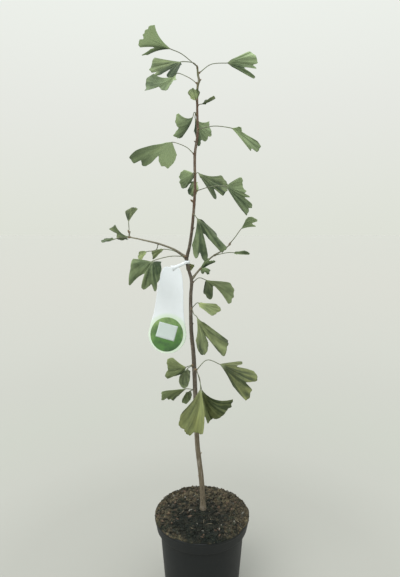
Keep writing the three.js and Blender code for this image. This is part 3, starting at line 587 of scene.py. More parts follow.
# The masses of foliage, from the tip down: foliage_01 and so on. Each has one short shoot, at a
# height on the stem or a share of a bough's length, that faces `turn` round from +X and `rise` up.
# Its blades start at `base`, and their stalks pass through `via`. A blade's `pose` is its heading
# in the XZ plane, its lean towards the viewer, its roll, its length and its spread, then how far
# its halves fold, it droops along its length, its sides are hollow and its margin is swept round.
# `margin` has places from -100 to 100 across the fan, each followed by how far the margin reaches
# there, in hundredths of the length. The four tint numbers are how light and how yellow the blade
# is, and how much lighter it gets towards its margin and across the fan: the lightness is partly
# painted shade, and the lightening towards the margin and across the fan is painted light and
# shade.
masses = [
    {"on": "stem", "at": 1064, "turn": 250, "rise": 60, "leaves": [
        {"tintAndPaintedShade": (0.8, 0, 0.45, -0.7), "base": (-59, -20, 1094), "via": [(-40, -11, 1089)],
         "pose": (153, -1, -63, 58, 87, -4, -41, 0.48, -11),
         "margin": [-100, 96, -85, 101, -72, 101, -62, 96, -50, 103, -38, 99, -30, 104, -17, 97,
           -10, 97, -7, 108, -5, 109, 30, 108, 43, 103, 45, 64, 55, 58, 60, 70, 70, 84, 78, 104,
           80, 108, 85, 109, 88, 107, 90, 98, 98, 93, 100, 94]},
        {"tintAndPaintedShade": (0.07, 0.2, -0.07, -0.4), "base": (-38, -62, 1056), "via": [(-17, -34, 1064)],
         "pose": (-141, 42, 28, 58, 86, 14, 25, 0.22, -3),
         "margin": [-100, 84, -72, 96, -57, 104, -52, 112, -35, 111, -30, 102, -25, 98, -22, 98,
           -20, 111, -15, 112, -2, 102, 0, 97, 3, 83, 7, 78, 10, 65, 15, 62, 18, 63, 20, 83, 23, 89,
           28, 94, 58, 99, 73, 88, 75, 62, 78, 59, 80, 48, 93, 33, 100, 30]},
    ]},
    {"on": "stem", "at": 1055, "turn": 30, "rise": 35, "leaves": [
        {"tintAndPaintedShade": (0.48, 0, 0.52, 0.26), "base": (50, 28, 1085), "via": [(18, 15, 1078)],
         "pose": (8, -16, 7, 66, 66, -1, 7, 0.01, -1),
         "margin": [-100, 18, -95, 27, -93, 35, -90, 52, -88, 98, -85, 101, -75, 103, -62, 74,
           -55, 63, -47, 57, -38, 62, -35, 72, -32, 103, -22, 99, -15, 91, -10, 91, -5, 102, 0, 106,
           38, 99, 70, 87, 73, 78, 75, 60, 80, 41, 88, 28, 100, 18]},
    ]},
    {"on": "stem", "at": 1035, "turn": 150, "rise": 35, "leaves": [
        {"tintAndPaintedShade": (0.44, 0.03, -0.38, 0.13), "base": (-51, 38, 1068), "via": [(-26, 21, 1054)],
         "pose": (-129.5, -25, 48, 76.5, 119.5, 13.5, -26, 0.67, 13),
         "margin": [-100, 89, -93, 104, -85, 112, -72, 112, -55, 106, -45, 111, -42, 64, -20, 62,
           12, 50, 50, 50, 53, 39, 60, 39, 62, 24, 100, 23]},
    ]},
    {"on": "stem", "at": 1001, "turn": 250, "rise": 20, "leaves": [
        {"tintAndPaintedShade": (0.41, 0.25, -0.9, 0.42), "base": (-12, -18, 1000),
         "pose": (102, 36, 37, 27, 156, 11, 57, -0.02, -1),
         "margin": [-100, 18, -82, 31, -78, 41, -72, 58, -55, 65, -42, 77, -30, 68, -25, 72,
           -17, 88, -5, 83, 48, 83, 53, 77, 60, 58, 68, 55, 73, 59, 75, 55, 80, 42, 85, 23,
           100, 23]},
    ]},
    {"on": "stem", "at": 994, "turn": 70, "rise": 20, "leaves": [
        {"tintAndPaintedShade": (0.03, 0.32, 0.57, -0.22), "base": (-2, 20, 1002),
         "pose": (2, -10, -80, 34, 111, 26, -32, -0.04, 12),
         "margin": [-100, 82, -95, 109, -62, 98, -38, 94, -35, 88, -32, 38, -25, 33, -5, 29, 15, 30,
           35, 38, 38, 43, 40, 112, 50, 112, 62, 96, 70, 94, 73, 87, 78, 83, 85, 87, 88, 92, 93, 88,
           100, 77]},
    ]},
    {"on": "stem", "at": 974, "turn": 240, "rise": 30, "leaves": [
        {"tintAndPaintedShade": (0.3, 0, 0.63, -0.31), "base": (-17, -30, 967), "via": [(-15, -16, 977)],
         "pose": (-100, 22, -86, 59, 100, -21, 51, 0.37, 0),
         "margin": [-100, 93, -93, 104, -80, 107, -75, 103, -65, 103, -32, 83, -27, 86, -22, 96,
           -12, 108, 7, 94, 65, 93, 100, 87]},
    ]},
    {"on": "stem", "at": 980, "turn": 100, "rise": 30, "leaves": [
        {"tintAndPaintedShade": (0.34, 0, 0.09, 0.4), "base": (-14, 36, 979), "via": [(-13, 20, 984)],
         "pose": (-75, -48, -55, 71, 92, 9, -25, 0.5, 1),
         "margin": [-100, 42, -95, 38, -88, 38, -80, 49, -78, 82, -57, 81, -45, 73, -27, 72,
           -12, 74, -5, 79, -2, 84, 7, 89, 18, 89, 28, 84, 30, 86, 33, 93, 40, 96, 73, 89, 75, 82,
           100, 78]},
    ]},
    {"on": "stem", "at": 946, "turn": 300, "rise": 20, "leaves": [
        {"tintAndPaintedShade": (0.63, 0, -0.68, -0.06), "base": (54, -45, 941), "via": [(23, -25, 949)],
         "pose": (-28, 33, 58, 65, 64, 17, -6, 0.31, 1),
         "margin": [-100, 18, -97, 89, -82, 92, -68, 88, -65, 106, -62, 111, -57, 112, -32, 112,
           -30, 107, -15, 98, -12, 57, -10, 57, -7, 50, -5, 49, 40, 43, 65, 43, 90, 48, 100, 45]},
    ]},
    {"on": "stem", "at": 898, "turn": 130, "rise": 40, "leaves": [
        {"tintAndPaintedShade": (0.76, 0, -0.89, 0.58), "base": (-61, 42, 931), "via": [(-32, 23, 918)],
         "pose": (-164, -39, -72, 96, 110, 2, -26, 0.01, 0),
         "margin": [-100, 18, -88, 25, -78, 36, -70, 54, -68, 65, -65, 82, -50, 101, -42, 103,
           -25, 104, -22, 88, -20, 87, -7, 97, 0, 99, 7, 97, 18, 82, 25, 64, 28, 64, 33, 68, 38, 79,
           53, 99, 60, 98, 68, 107, 70, 107, 73, 98, 90, 77, 95, 64, 100, 57]},
    ]},
    {"on": "stem", "at": 862, "turn": 260, "rise": 25, "leaves": [
        {"tintAndPaintedShade": (0.51, 0, -0.32, -0.36), "base": (-17, -34, 859),
         "pose": (-128, -4, -64, 34, 162, -14, 7, 0.07, 0),
         "margin": [-100, 18, -97, 29, -95, 74, -85, 79, -82, 84, -70, 92, -65, 91, -60, 97,
           -42, 89, -30, 97, -12, 96, 3, 104, 25, 112, 40, 112, 45, 108, 50, 97, 55, 93, 60, 94,
           68, 88, 73, 89, 83, 74, 95, 64, 98, 60, 100, 50]},
    ]},
    {"on": "stem", "at": 858, "turn": 80, "rise": 25, "leaves": [
        {"tintAndPaintedShade": (0.38, 0.1, -0.82, 0.59), "base": (-14, 34, 851),
         "pose": (-98, -9, 55, 33, 162, 2, -9, 0.04, 0),
         "margin": [-100, 29, -88, 53, -85, 55, -80, 52, -72, 57, -70, 63, -65, 67, -62, 76,
           -55, 83, -52, 89, -38, 96, -7, 94, -2, 98, 15, 93, 25, 94, 33, 89, 38, 91, 45, 82,
           65, 73, 70, 64, 73, 45, 83, 30, 100, 31]},
        {"tintAndPaintedShade": (0.13, 0.25, -0.25, 0.11), "base": (-8, 26, 867),
         "pose": (-38, 2, -46, 64, 89, -2, 7, 0.38, 6),
         "margin": [-100, 18, -88, 27, -80, 40, -75, 57, -72, 74, -70, 103, -68, 104, -57, 106,
           -45, 101, -38, 94, -22, 72, -20, 73, -17, 82, -15, 107, -12, 108, 12, 107, 23, 111,
           65, 112, 68, 108, 78, 107, 83, 99, 100, 86]},
    ]},
    {"on": "stem", "at": 827, "turn": 310, "rise": 15, "leaves": [
        {"tintAndPaintedShade": (0.45, 0, 0.2, 0.3), "base": (45, -38, 834), "via": [(19, -21, 835)],
         "pose": (-40, 51, 58, 75, 73, 6, 14, 0.05, 0),
         "margin": [-100, 77, -97, 81, -95, 94, -93, 96, -60, 97, -50, 92, -42, 102, -30, 97,
           -20, 86, -15, 74, -7, 78, 5, 97, 10, 96, 20, 81, 28, 88, 33, 89, 35, 83, 40, 79, 60, 78,
           70, 82, 85, 96, 93, 98, 95, 92, 98, 91, 100, 18]},
    ]},
    {"on": "stem", "at": 780, "turn": 275, "rise": 25, "leaves": [
        {"tintAndPaintedShade": (0.11, 0.17, 0.23, -0.03), "base": (-10, -36, 774), "via": [(-14, -20, 780)],
         "pose": (-46, 3, -59, 86, 119, -24, 2, 0.15, 0),
         "margin": [-100, 72, -95, 81, -93, 92, -85, 102, -80, 97, -78, 88, -75, 86, -72, 99,
           -65, 104, -60, 103, -55, 98, -50, 87, -47, 60, -42, 38, -38, 38, -32, 42, -30, 47,
           -27, 57, -25, 58, -22, 72, -20, 72, -17, 97, -10, 94, -5, 97, 0, 94, 20, 96, 50, 109,
           53, 84, 55, 86, 58, 73, 75, 79, 80, 78, 83, 55, 85, 42, 88, 34, 93, 25, 100, 18]},
    ]},
    {"on": "boughLeft", "at": 0.97, "turn": 190, "rise": 60, "leaves": [
        {"tintAndPaintedShade": (0.1, 0.45, 0.05, -0.1), "base": (-146, 4, 767), "via": [(-145, 2, 753)],
         "pose": (90, -37, -33, 44, 61, -14, 13, 0.11, 0),
         "margin": [-100, 18, -97, 24, -95, 37, -93, 81, -60, 86, -55, 89, -38, 87, -10, 89,
           23, 103, 50, 102, 60, 98, 80, 111, 90, 108, 93, 102, 95, 40, 98, 25, 100, 18]},
    ]},
    {"on": "boughLeft", "at": 0.9, "turn": 170, "rise": -10, "leaves": [
        {"tintAndPaintedShade": (0.16, 0.3, -0.1, 0), "base": (-147, 0, 739),
         "pose": (-166, -39, -19, 52, 96, -42, -20, 0.54, 1),
         "margin": [-100, 91, -80, 98, -65, 112, -62, 70, -60, 65, 15, 52, 35, 53, 45, 48, 53, 30,
           55, 29, 100, 30]},
        {"tintAndPaintedShade": (0.1, 0.2, 0, 0), "base": (-168, -34, 734), "via": [(-156, -19, 737)],
         "pose": (178, 32, 75, 26, 160, 1, 30, 0.02, -12),
         "margin": [-100, 30, -82, 26, -57, 30, -52, 34, -50, 42, -47, 60, -40, 67, -35, 76,
           -12, 76, -10, 96, 15, 101, 23, 98, 28, 92, 35, 73, 45, 60, 48, 50, 55, 50, 58, 30,
           60, 26, 68, 28, 75, 23, 100, 23]},
    ]},
    {"on": "boughLeft", "at": 0.45, "turn": 120, "rise": 0, "leaves": [
        {"tintAndPaintedShade": (0.79, 0.3, -0.31, 0.53), "base": (-113, 26, 707), "via": [(-93, 14, 711)],
         "pose": (-152, -25, 25, 28, 86, -13, 16, -0.01, 0),
         "margin": [-100, 18, -88, 25, -80, 34, -75, 44, -70, 62, -65, 73, -50, 89, -22, 93,
           -17, 101, 10, 99, 23, 96, 35, 99, 58, 83, 60, 25, 100, 23]},
    ]},
    {"on": "stem", "at": 699, "turn": 225, "rise": 0, "leaves": [
        {"tintAndPaintedShade": (0.21, 0.15, 0.16, -0.18), "base": (-96, -34, 691), "via": [(-62, -19, 700)],
         "pose": (-104, 61, 9, 60, 129, 43, 80, 0.07, -3),
         "margin": [-100, 74, -97, 79, -80, 87, -60, 107, -57, 107, -55, 106, -50, 87, -45, 76,
           -35, 62, -25, 54, -22, 93, -20, 96, -10, 101, -5, 99, 20, 82, 25, 84, 33, 101, 40, 103,
           48, 99, 50, 86, 65, 87, 75, 77, 83, 76, 93, 57, 100, 58]},
    ]},
    {"on": "stem", "at": 694, "turn": 125, "rise": 0, "leaves": [
        {"tintAndPaintedShade": (0.3, 0.3, 0, 0), "base": (-78, 26, 712), "via": [(-54, 15, 708)],
         "pose": (-164, -23, 39, 41, 69, -28, 18, 0.11, -2),
         "margin": [-100, 24, -93, 26, -90, 33, -88, 34, -68, 39, -65, 55, -47, 57, -45, 88,
           -38, 88, -20, 82, 28, 77, 53, 77, 58, 83, 70, 83, 73, 81, 78, 65, 80, 51, 85, 35, 93, 24,
           100, 18]},
    ]},
    {"on": "stem", "at": 677, "turn": 60, "rise": 20, "leaves": [
        {"tintAndPaintedShade": (0.4, 0.6, 0, 0), "base": (-28, 18, 685),
         "pose": (-119, -34, -61, 25, 132, 18, -47, 0.12, 0),
         "margin": [-100, 25, -55, 29, -32, 34, -12, 43, 0, 55, 7, 81, 12, 82, 15, 99, 20, 97,
           23, 83, 25, 102, 38, 89, 40, 97, 60, 93, 85, 94, 100, 82]},
    ]},
    {"on": "boughRight", "at": 0.96, "turn": 30, "rise": 60, "leaves": [
        {"tintAndPaintedShade": (0.61, 0.05, 0.24, 0), "base": (77, -2, 753), "via": [(67, -1, 739)],
         "pose": (40, 14, 42, 39, 72, -1, -24, 0.28, -1),
         "margin": [-100, 78, -80, 77, -52, 64, -35, 63, -25, 67, -20, 92, -17, 94, 7, 103, 28, 96,
           85, 91, 93, 86, 95, 77, 98, 77, 100, 67]},
    ]},
    {"on": "boughRight", "at": 0.6, "turn": 60, "rise": 0, "leaves": [
        {"tintAndPaintedShade": (0.53, 0, -0.52, -0.68), "base": (67, 44, 704), "via": [(51, 24, 705)],
         "pose": (-7, -12, 61, 30, 129, -19, 3, -0.2, 1),
         "margin": [-100, 30, -97, 29, -90, 39, -80, 38, -78, 43, -72, 43, -70, 49, -62, 58,
           -60, 67, -57, 69, -55, 81, -40, 112, 10, 112, 15, 108, 18, 101, 38, 78, 40, 70, 43, 33,
           48, 28, 55, 23, 100, 23]},
    ]},
    {"on": "boughRight", "at": 0.22, "turn": 290, "rise": 10, "leaves": [
        {"tintAndPaintedShade": (0.29, 0.05, 0.28, 0.48), "base": (-2, -16, 676),
         "pose": (47, 35, 25, 36, 53, -3, -19, -0.1, 1),
         "margin": [-100, 18, -82, 26, -70, 39, -65, 49, -60, 65, -57, 78, -55, 97, -52, 106,
           -40, 112, -10, 107, 3, 102, 15, 92, 20, 93, 33, 112, 40, 106, 45, 106, 48, 96, 50, 81,
           53, 72, 65, 65, 68, 43, 73, 42, 78, 34, 90, 25, 100, 23]},
    ]},
    {"on": "boughRight", "at": 0.3, "turn": 90, "rise": -30, "leaves": [
        {"tintAndPaintedShade": (0.48, 0, -1.2, 0.09), "base": (-1, 22, 675),
         "pose": (-49, -44, 20, 30, 83, -36, -15, 0, -2),
         "margin": [-100, 18, -97, 28, -95, 65, -88, 63, -85, 65, -82, 76, -78, 82, -60, 86,
           -20, 60, -7, 59, -5, 63, -2, 86, 15, 87, 18, 94, 45, 83, 60, 88, 65, 82, 73, 63, 75, 62,
           80, 48, 98, 34, 100, 23]},
    ]},
    {"on": "stem", "at": 645, "turn": 50, "rise": 20, "leaves": [
        {"tintAndPaintedShade": (0.37, 0.22, -0.12, 0.31), "base": (8, 34, 648), "via": [(-6, 19, 654)],
         "pose": (-29, -18, 64, 65, 145, 2, -44, 0.18, 7),
         "margin": [-100, 18, -97, 25, -95, 39, -93, 93, -90, 101, -80, 98, -78, 112, -70, 112,
           -65, 108, -57, 94, -50, 63, -40, 44, -32, 39, -20, 36, -10, 38, -2, 43, 0, 52, 5, 58,
           7, 104, 12, 111, 23, 112, 33, 106, 43, 109, 55, 104, 70, 108, 80, 104, 90, 106, 93, 96,
           95, 39, 98, 25, 100, 18]},
    ]},
    {"on": "stem", "at": 592, "turn": 290, "rise": 35, "leaves": [
        {"tintAndPaintedShade": (0.49, 0.4, -0.53, -0.06), "base": (-8, -26, 610), "via": [(-16, -14, 602)],
         "pose": (-32, -1, -51, 46, 88, 4, -2, 0.12, 0),
         "margin": [-100, 18, -82, 25, -70, 34, -62, 44, -55, 62, -50, 64, -47, 72, -40, 83,
           -12, 86, 5, 92, 12, 91, 23, 101, 35, 107, 50, 103, 78, 87, 80, 61, 83, 47, 85, 38,
           90, 28, 100, 18]},
        {"tintAndPaintedShade": (0.22, 0.43, -0.21, -0.04), "base": (-10, -30, 583), "via": [(-16, -16, 586)],
         "pose": (-70, 22, -60, 91, 92, 12, -13, 0.42, 0),
         "margin": [-100, 84, -95, 89, -93, 98, -85, 106, -62, 101, -40, 89, -22, 73, 0, 62, 3, 59,
           5, 34, 10, 34, 12, 42, 23, 44, 28, 49, 30, 57, 33, 99, 43, 102, 65, 93, 95, 89, 98, 30,
           100, 18]},
    ]},
    {"on": "stem", "at": 464, "turn": 40, "rise": 35, "leaves": [
        {"tintAndPaintedShade": (0.11, 0.68, 0.19, 0.1), "base": (37, 24, 474), "via": [(10, 13, 486)],
         "pose": (-27, -16, -68, 89, 99, -16, -18, 0.08, -1),
         "margin": [-100, 57, -97, 60, -95, 97, -93, 98, -80, 99, -70, 94, -57, 93, -52, 74,
           -50, 73, -40, 78, -25, 94, -17, 98, -2, 99, 20, 93, 25, 82, 30, 77, 33, 49, 48, 57,
           50, 64, 58, 77, 78, 94, 80, 93, 90, 65, 93, 39, 95, 28, 100, 18]},
        {"tintAndPaintedShade": (0.14, 0.58, -0.17, -0.1), "base": (-1, 26, 422), "via": [(-6, 14, 448)],
         "pose": (-80.5, -10, -33.5, 93, 107.5, 55.5, -53.5, 0.46, 5),
         "margin": [-100, 84, -90, 84, -85, 98, -82, 112, -80, 112, -68, 94, -52, 82, -25, 73,
           3, 72, 5, 77, 28, 84, 60, 86, 68, 93, 78, 88, 88, 89, 100, 84]},
    ]},
    {"on": "stem", "at": 468, "turn": 300, "rise": 35, "leaves": [
        {"tintAndPaintedShade": (0.48, 0.62, -0.16, 0.17), "base": (-3, -30, 442), "via": [(-5, -16, 458)],
         "pose": (-94, 41, -64, 90, 85, 4, 35, 0.17, 1),
         "margin": [-100, 18, -97, 89, -52, 103, -27, 97, 30, 101, 38, 92, 53, 92, 83, 99, 85, 93,
           88, 64, 100, 62]},
    ]},
    {"on": "stem", "at": 478, "turn": 235, "rise": 25, "leaves": [
        {"tintAndPaintedShade": (0.19, 0.38, -0.24, -0.49), "base": (-31, -26, 483),
         "pose": (-170, 53, 0, 49, 88, -2, 19, 0.17, -1),
         "margin": [-100, 82, -90, 98, -78, 106, -65, 106, -47, 96, -25, 94, -5, 111, 0, 111,
           18, 103, 20, 79, 23, 73, 45, 48, 60, 43, 73, 29, 80, 25, 100, 23]},
    ]},
    {"on": "stem", "at": 474, "turn": 130, "rise": 20, "leaves": [
        {"tintAndPaintedShade": (0.3, 0.25, 0, 0), "base": (-30, 20, 466),
         "pose": (-121, -2, -69, 39, 147, -3, -71, 0.06, -2),
         "margin": [-100, 18, -97, 29, -95, 77, -90, 76, -88, 84, -82, 86, -78, 92, -45, 107,
           -40, 112, -30, 111, -22, 104, -5, 98, 18, 94, 68, 99, 70, 94, 75, 98, 90, 93, 100, 86]},
    ]},
    {"on": "stem", "at": 424, "turn": 115, "rise": 20, "leaves": [
        {"tintAndPaintedShade": (0.41, 0.25, -0.03, -0.16), "base": (-33, 34, 419),
         "pose": (-155, -22, -46, 56, 69, -3, -21, 0.18, -1),
         "margin": [-100, 70, -97, 72, -95, 92, -62, 96, -27, 107, -7, 108, 0, 104, 3, 94, 10, 92,
           25, 94, 28, 88, 45, 88, 75, 98, 80, 91, 83, 73, 90, 65, 93, 39, 95, 28, 100, 18]},
        {"tintAndPaintedShade": (0.26, 0.2, 0, 0), "base": (-25, 26, 417),
         "pose": (-132, -32, -59, 30, 119, -11, -77, 0.06, -4),
         "margin": [-100, 30, -80, 34, -65, 45, -60, 58, -57, 74, -52, 89, -42, 96, -17, 99,
           -10, 104, 18, 92, 80, 91, 85, 69, 95, 38, 100, 31]},
    ]},
]

# The stem and its two boughs.

stem = {
    # centre line from below the soil to the tip: height, right, back, radius
    "line": [
        (171.5, 2.9, 0, 5.6), (241, -1, 1, 5.1), (314, -9.3, 2, 4.8), (408, -13, 2, 4.6),
        (500, -17, 0, 4.2), (551, -21.5, -1, 3.8), (618, -22.5, -1, 3.3), (650, -21, 0, 3.3),
        (672, -26.5, 1, 3.1), (692, -30.5, 0, 3.5), (718, -25, -1, 3.1), (752, -20, 0, 2.9),
        (830, -14, 2, 2.7), (900, -14, 1, 2.6), (938, -9, -1, 2.4), (990, -9.5, -1, 2.2),
        (1031, -8.5, 0, 2.1), (1042, -6, 0, 2.3), (1053, -8, 0, 2), (1067, -9, 0, 1.6),
    ],
    "foot": 179.8, "flareHeight": 17, "flare": 1.5, "rings": 1500, "sides": 36,
    "ridge": 0.16, "ridgeWidth": 1.1, "ridgeLength": 9, "lump": 0.16, "nodeSwell": 0.7,
    "nodeReach": 3.2, "budSwell": 0.12,
    "old": "#585147", "young": "#6a5345", "bough": "#8b8875", "tip": "#6f7356", "low": "#6b6250",
    "groove": "#463d33", "pale": "#8d867a", "lenticel": "#9a8f7c",
}
boughShape = {"steps": 420, "places": 200, "sides": 24, "sunk": 2.5, "flare": 0.9,
              "flareShare": 1 / 22}
boughs = {
    "boughLeft": {
        "node": "bough_left", "radii": (2.3, 1.2),
        "line": [(-34, 0, 698.5), (-52, -3, 711), (-83, -7, 723.5), (-123, -11, 733.5),
                 (-142, -12, 739), (-141, -12, 749)],
    },
    "boughRight": {
        "node": "bough_right", "radii": (2.1, 1.15),
        "line": [(-18, 0, 656.5), (-2, 3, 675.5), (20, 7, 697.5), (40, 10, 709.5),
                 (58, 12, 723.5)],
    },
}
# small buds on bare stretches of the stem: height, turn from +X, length
buds = [(806, 185, 5), (1041, 20, 3.2), (1012, 150, 2.6), (922, 200, 2.6), (752, 20, 3),
        (560, 40, 2.6), (530, 210, 2.4), (384, 330, 2.8), (345, 150, 2.6), (292, 20, 2.4),
        (246, 200, 2.2)]


def stemColumn(height, column):
    rows = np.array(stem["line"], float)
    return np.interp(height, rows[:, 0], rows[:, column])


def stemPoint(height):
    return np.array([stemColumn(height, 1), stemColumn(height, 2), height])


def stemRadius(height):
    above = (height - stem["foot"]) / stem["flareHeight"]
    return stemColumn(height, 3) + stem["flare"] * np.exp(-3 * above ** 2)


def barkFinish(name, young):
    finish = Finish(name, 0.85, 0.3)
    height = finish.node("ShaderNodeSeparateXYZ", {}, {"Vector": finish.place}, "Z")
    grainy = finish.noise(1, 4, finish.stretched(900, 900, 95), 0.6)
    patchy = finish.noise(1, 3, finish.stretched(240, 240, 42))
    blotch = finish.noise(34, 2)
    spots = finish.cells(330, finish.stretched(1, 1, 0.55))
    wood = stem["bough" if young else "old"]
    coats = [(finish.fade(blotch, 0.35, 0.65, 0, 0.45), "old")] if young else [
        (finish.fade(height + 0.05 * blotch, 0.74, 0.86), "young"),
        (finish.fade(height, 0.99, 1.06), "tip"), (finish.fade(height, 0.42, 0.3, 0, 0.85), "low")]
    coats += [(finish.fade(patchy, 0.5, 0.68, 0, 0.7), "pale"),
              (finish.fade(grainy, 0.5, 0.36, 0, 0.85), "groove"),
              (finish.fade(spots, 0.2, 0.12, 0, 0.6), "lenticel")]
    for share, colour in coats:
        wood = finish.blend(share, wood, stem[colour])
    return finish.look(wood, grainy + 0.5 * patchy - 0.4 * spots, 0.45, 0.78 + 0.18 * grainy)


def barkTube(line, radius, sides, nodes):
    # a limb with fine ridges, soft lumps and a swelling at each node
    first, second = ringAxes(line)
    angle = circle(sides)[:, None]
    around = first[:, None] * np.cos(angle) + second[:, None] * np.sin(angle)
    skin = line[:, None] + around * radius[:, None, None]
    flat = skin.reshape(-1, 3)
    narrow = flat / [stem["ridgeWidth"], stem["ridgeWidth"], stem["ridgeLength"]]
    ridges = 1 - 2 * np.abs(grain(narrow, 1.0, 3))
    relief = stem["ridge"] * ridges * 0.6 + stem["lump"] * grain(flat, 7, 2)
    relief = relief.reshape(skin.shape[:2])
    for centre, way, size in nodes:
        away = np.linalg.norm(skin - centre, axis=2)
        facing = np.clip(around @ way, 0, 1)
        relief += size * np.exp(-(away / stem["nodeReach"]) ** 2) * (0.35 + 0.65 * facing)
    return tube(line, radius[:, None] + relief * np.clip(radius / 2.5, 0.5, 1)[:, None], sides)


def limbOf(mass):
    # where a mass's short shoot starts, and the limb's radius there
    if mass["on"] == "stem":
        return stemPoint(mass["at"]), stemRadius(mass["at"])
    bough, places = boughs[mass["on"]], boughShape["places"]
    thick, thin = bough["radii"]
    line = smoothLine(bough["line"], places + 1)
    return line[round(places * mass["at"])], thick + (thin - thick) * mass["at"]


def direction(turn, rise=0):
    turn, rise = math.radians(turn), math.radians(rise)
    return np.array([math.cos(turn) * math.cos(rise), math.sin(turn) * math.cos(rise),
                     math.sin(rise)])


def nodesOn(limb):
    found = []
    for mass in masses:
        if mass["on"] == limb:
            centre, radius = limbOf(mass)
            way = direction(mass["turn"])
            found.append((centre + way * radius, way, stem["nodeSwell"]))
    for height, turn, length in buds if limb == "stem" else []:
        way = direction(turn)
        swell = stem["budSwell"] * length
        found.append((stemPoint(height) + way * stemRadius(height), way, swell))
    return found


def makeLimbs():
    line = smoothLine([(*row[1:3], row[0]) for row in stem["line"]], stem["rings"])
    line = line[line[:, 2] > stem["foot"] - 4]
    bark = barkTube(line, stemRadius(line[:, 2]), stem["sides"], nodesOn("stem"))
    piece = addPiece("stemBark", [bark], [barkFinish("stemBark", False)])
    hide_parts("trunk")
    boughBark = barkFinish("boughBark", True)
    for name, bough in boughs.items():
        line = smoothLine(bough["line"], boughShape["steps"])
        # the limb grows out of the stem: it starts a little inside the bark
        first = line[1] - line[0]
        line[0] -= first / np.linalg.norm(first) * boughShape["sunk"]
        share = np.linspace(0, 1, len(line))
        thick, thin = bough["radii"]
        flare = boughShape["flare"] * np.exp(-(share / boughShape["flareShare"]) ** 2)
        radius = thick + (thin - thick) * share + flare
        bark = barkTube(line, radius, boughShape["sides"], nodesOn(name))
        piece = addPiece(name, [bark], [boughBark])
        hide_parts(bough["node"])


# Short shoots and buds.

shoot = {
    "radius": 1.9, "length": 4.5, "sunk": 0.8, "scars": 5, "scarDepth": 0.16, "domeFrom": 0.86,
    "rings": 26, "sides": 18, "scale": 2.1, "scales": 6, "scaleTurn": 2.4, "budRise": 35,
    "budRadius": (0.36, 0.25),  # its growth with the bud's length, and the least
    "tip": {"at": 1064, "depth": 1.0, "turn": 200, "rise": 86, "length": 4.5, "radius": 1.4},
    "wood": "#5d5044", "scaleBrown": "#6f4f38", "scaleEdge": "#a08a68",
}


def aimed(points, centre, way):
    # turns points made along +Z so that they run along `way` from `centre`
    side = np.cross(way, [0.0, 0.31, 0.95])
    side /= np.linalg.norm(side)
    return centre + points @ np.array([side, np.cross(way, side), way])


def pegShape(radius, length):
    # a short shoot: rings of leaf scars and a domed end
    profile, dome = [(0, 0)], shoot["domeFrom"]
    for u in np.linspace(0, 1, shoot["rings"]):
        scar = 1 + shoot["scarDepth"] / radius * math.sin(2 * math.pi * shoot["scars"] * u)
        profile.append((radius * scar * (1.12 - 0.12 * u), length * dome * u))
    for angle in np.radians(np.linspace(15, 80, 5)):
        height = dome + (1 - dome) * math.sin(angle)
        profile.append((radius * math.cos(angle), length * height))
    return turned([*profile, (0, length)], shoot["sides"])


def scaleShape(radius, length, turn):
    # one bud scale, a pointed shell leaning on the bud
    rows = []
    for u in np.linspace(0, 1, 6):
        half = 0.75 * radius * math.sin(math.pi * min(1, 0.25 + 0.75 * u)) ** 0.8
        out = radius * (0.95 - 0.75 * u ** 1.6)
        rows.append([(1.02 * out * math.cos(w), half * math.sin(w * 1.2), length * u)
                     for w in (-1, -0.5, 0, 0.5, 1)])
    outer = np.array(rows)
    points, faces = skinned(outer * [0.82, 0.95, 1] - [0.08, 0, 0.05], outer)
    return points @ turnAbout(2, turn).T, faces


def makeShoots():
    tip, (growth, least) = shoot["tip"], shoot["budRadius"]
    places = [(*limbOf(mass), direction(mass["turn"], mass["rise"]), shoot["length"],
               shoot["radius"]) for mass in masses]
    places += [(stemPoint(height), stemRadius(height), direction(turn, shoot["budRise"]), length,
                growth * length + least) for height, turn, length in buds]
    places.append((stemPoint(tip["at"]), tip["depth"], direction(tip["turn"], tip["rise"]),
                   tip["length"], tip["radius"]))
    parts, finishOf = [], []
    for centre, depth, way, length, radius in places:
        start = centre + way * (depth - shoot["sunk"])
        shapes = [pegShape(radius, length)]
        for k in range(shoot["scales"]):
            shell, faces = scaleShape(
                radius * 0.9, shoot["scale"] * (0.7 + 0.1 * k), k * shoot["scaleTurn"])
            shapes.append((shell + [0, 0, length * (0.72 + 0.045 * k)], faces))
        parts += [(aimed(points, start, way), faces) for points, faces in shapes]
        finishOf += [0] + [1] * shoot["scales"]
    finishes = [
        mottledFinish(name, shoot[colour], shoot["scaleEdge"], 700, 0.4, 0.7, 0.2, 0.7, 0.35)
        for name, colour in (("shootWood", "wood"), ("budScale", "scaleBrown"))]
    addPiece("shortShoots", parts, finishes, finishOf)


makeLimbs()
makeShoots()
print("stem, boughs and short shoots made")


# Leaves and their stalks.

leafShape = {
    "columns": 128, "rows": 26, "thickness": 0.5, "rim": 0.55, "neck": 3.0, "start": 1.1,
    "soften": 0.014, "ruffle": 0.03, "ruffleWaves": 7, "cockle": 0.006, "pleats": 9,
    "pleatDepth": 0.42, "teeth": 0.016, "teethAcross": 30,
}
leafColours = {
    "cool": ("#283a25", "#a9bd90"), "warm": ("#353a1c", "#adae60"), "vein": "#b9c59a",
    "under": "#93a389",
}
stalk = {"foot": 1.1, "middle": 0.84, "head": 0.9, "inside": 7, "steps": 46, "sides": 10,
         "green": "#6f775e", "brown": "#61594b"}


def seededTurn(number, draw):
    # a repeatable angle for a leaf and a draw
    value = math.sin(number * 12.9898 + draw * 78.233) * 43758.5453
    return 2 * math.pi * (value - math.floor(value))


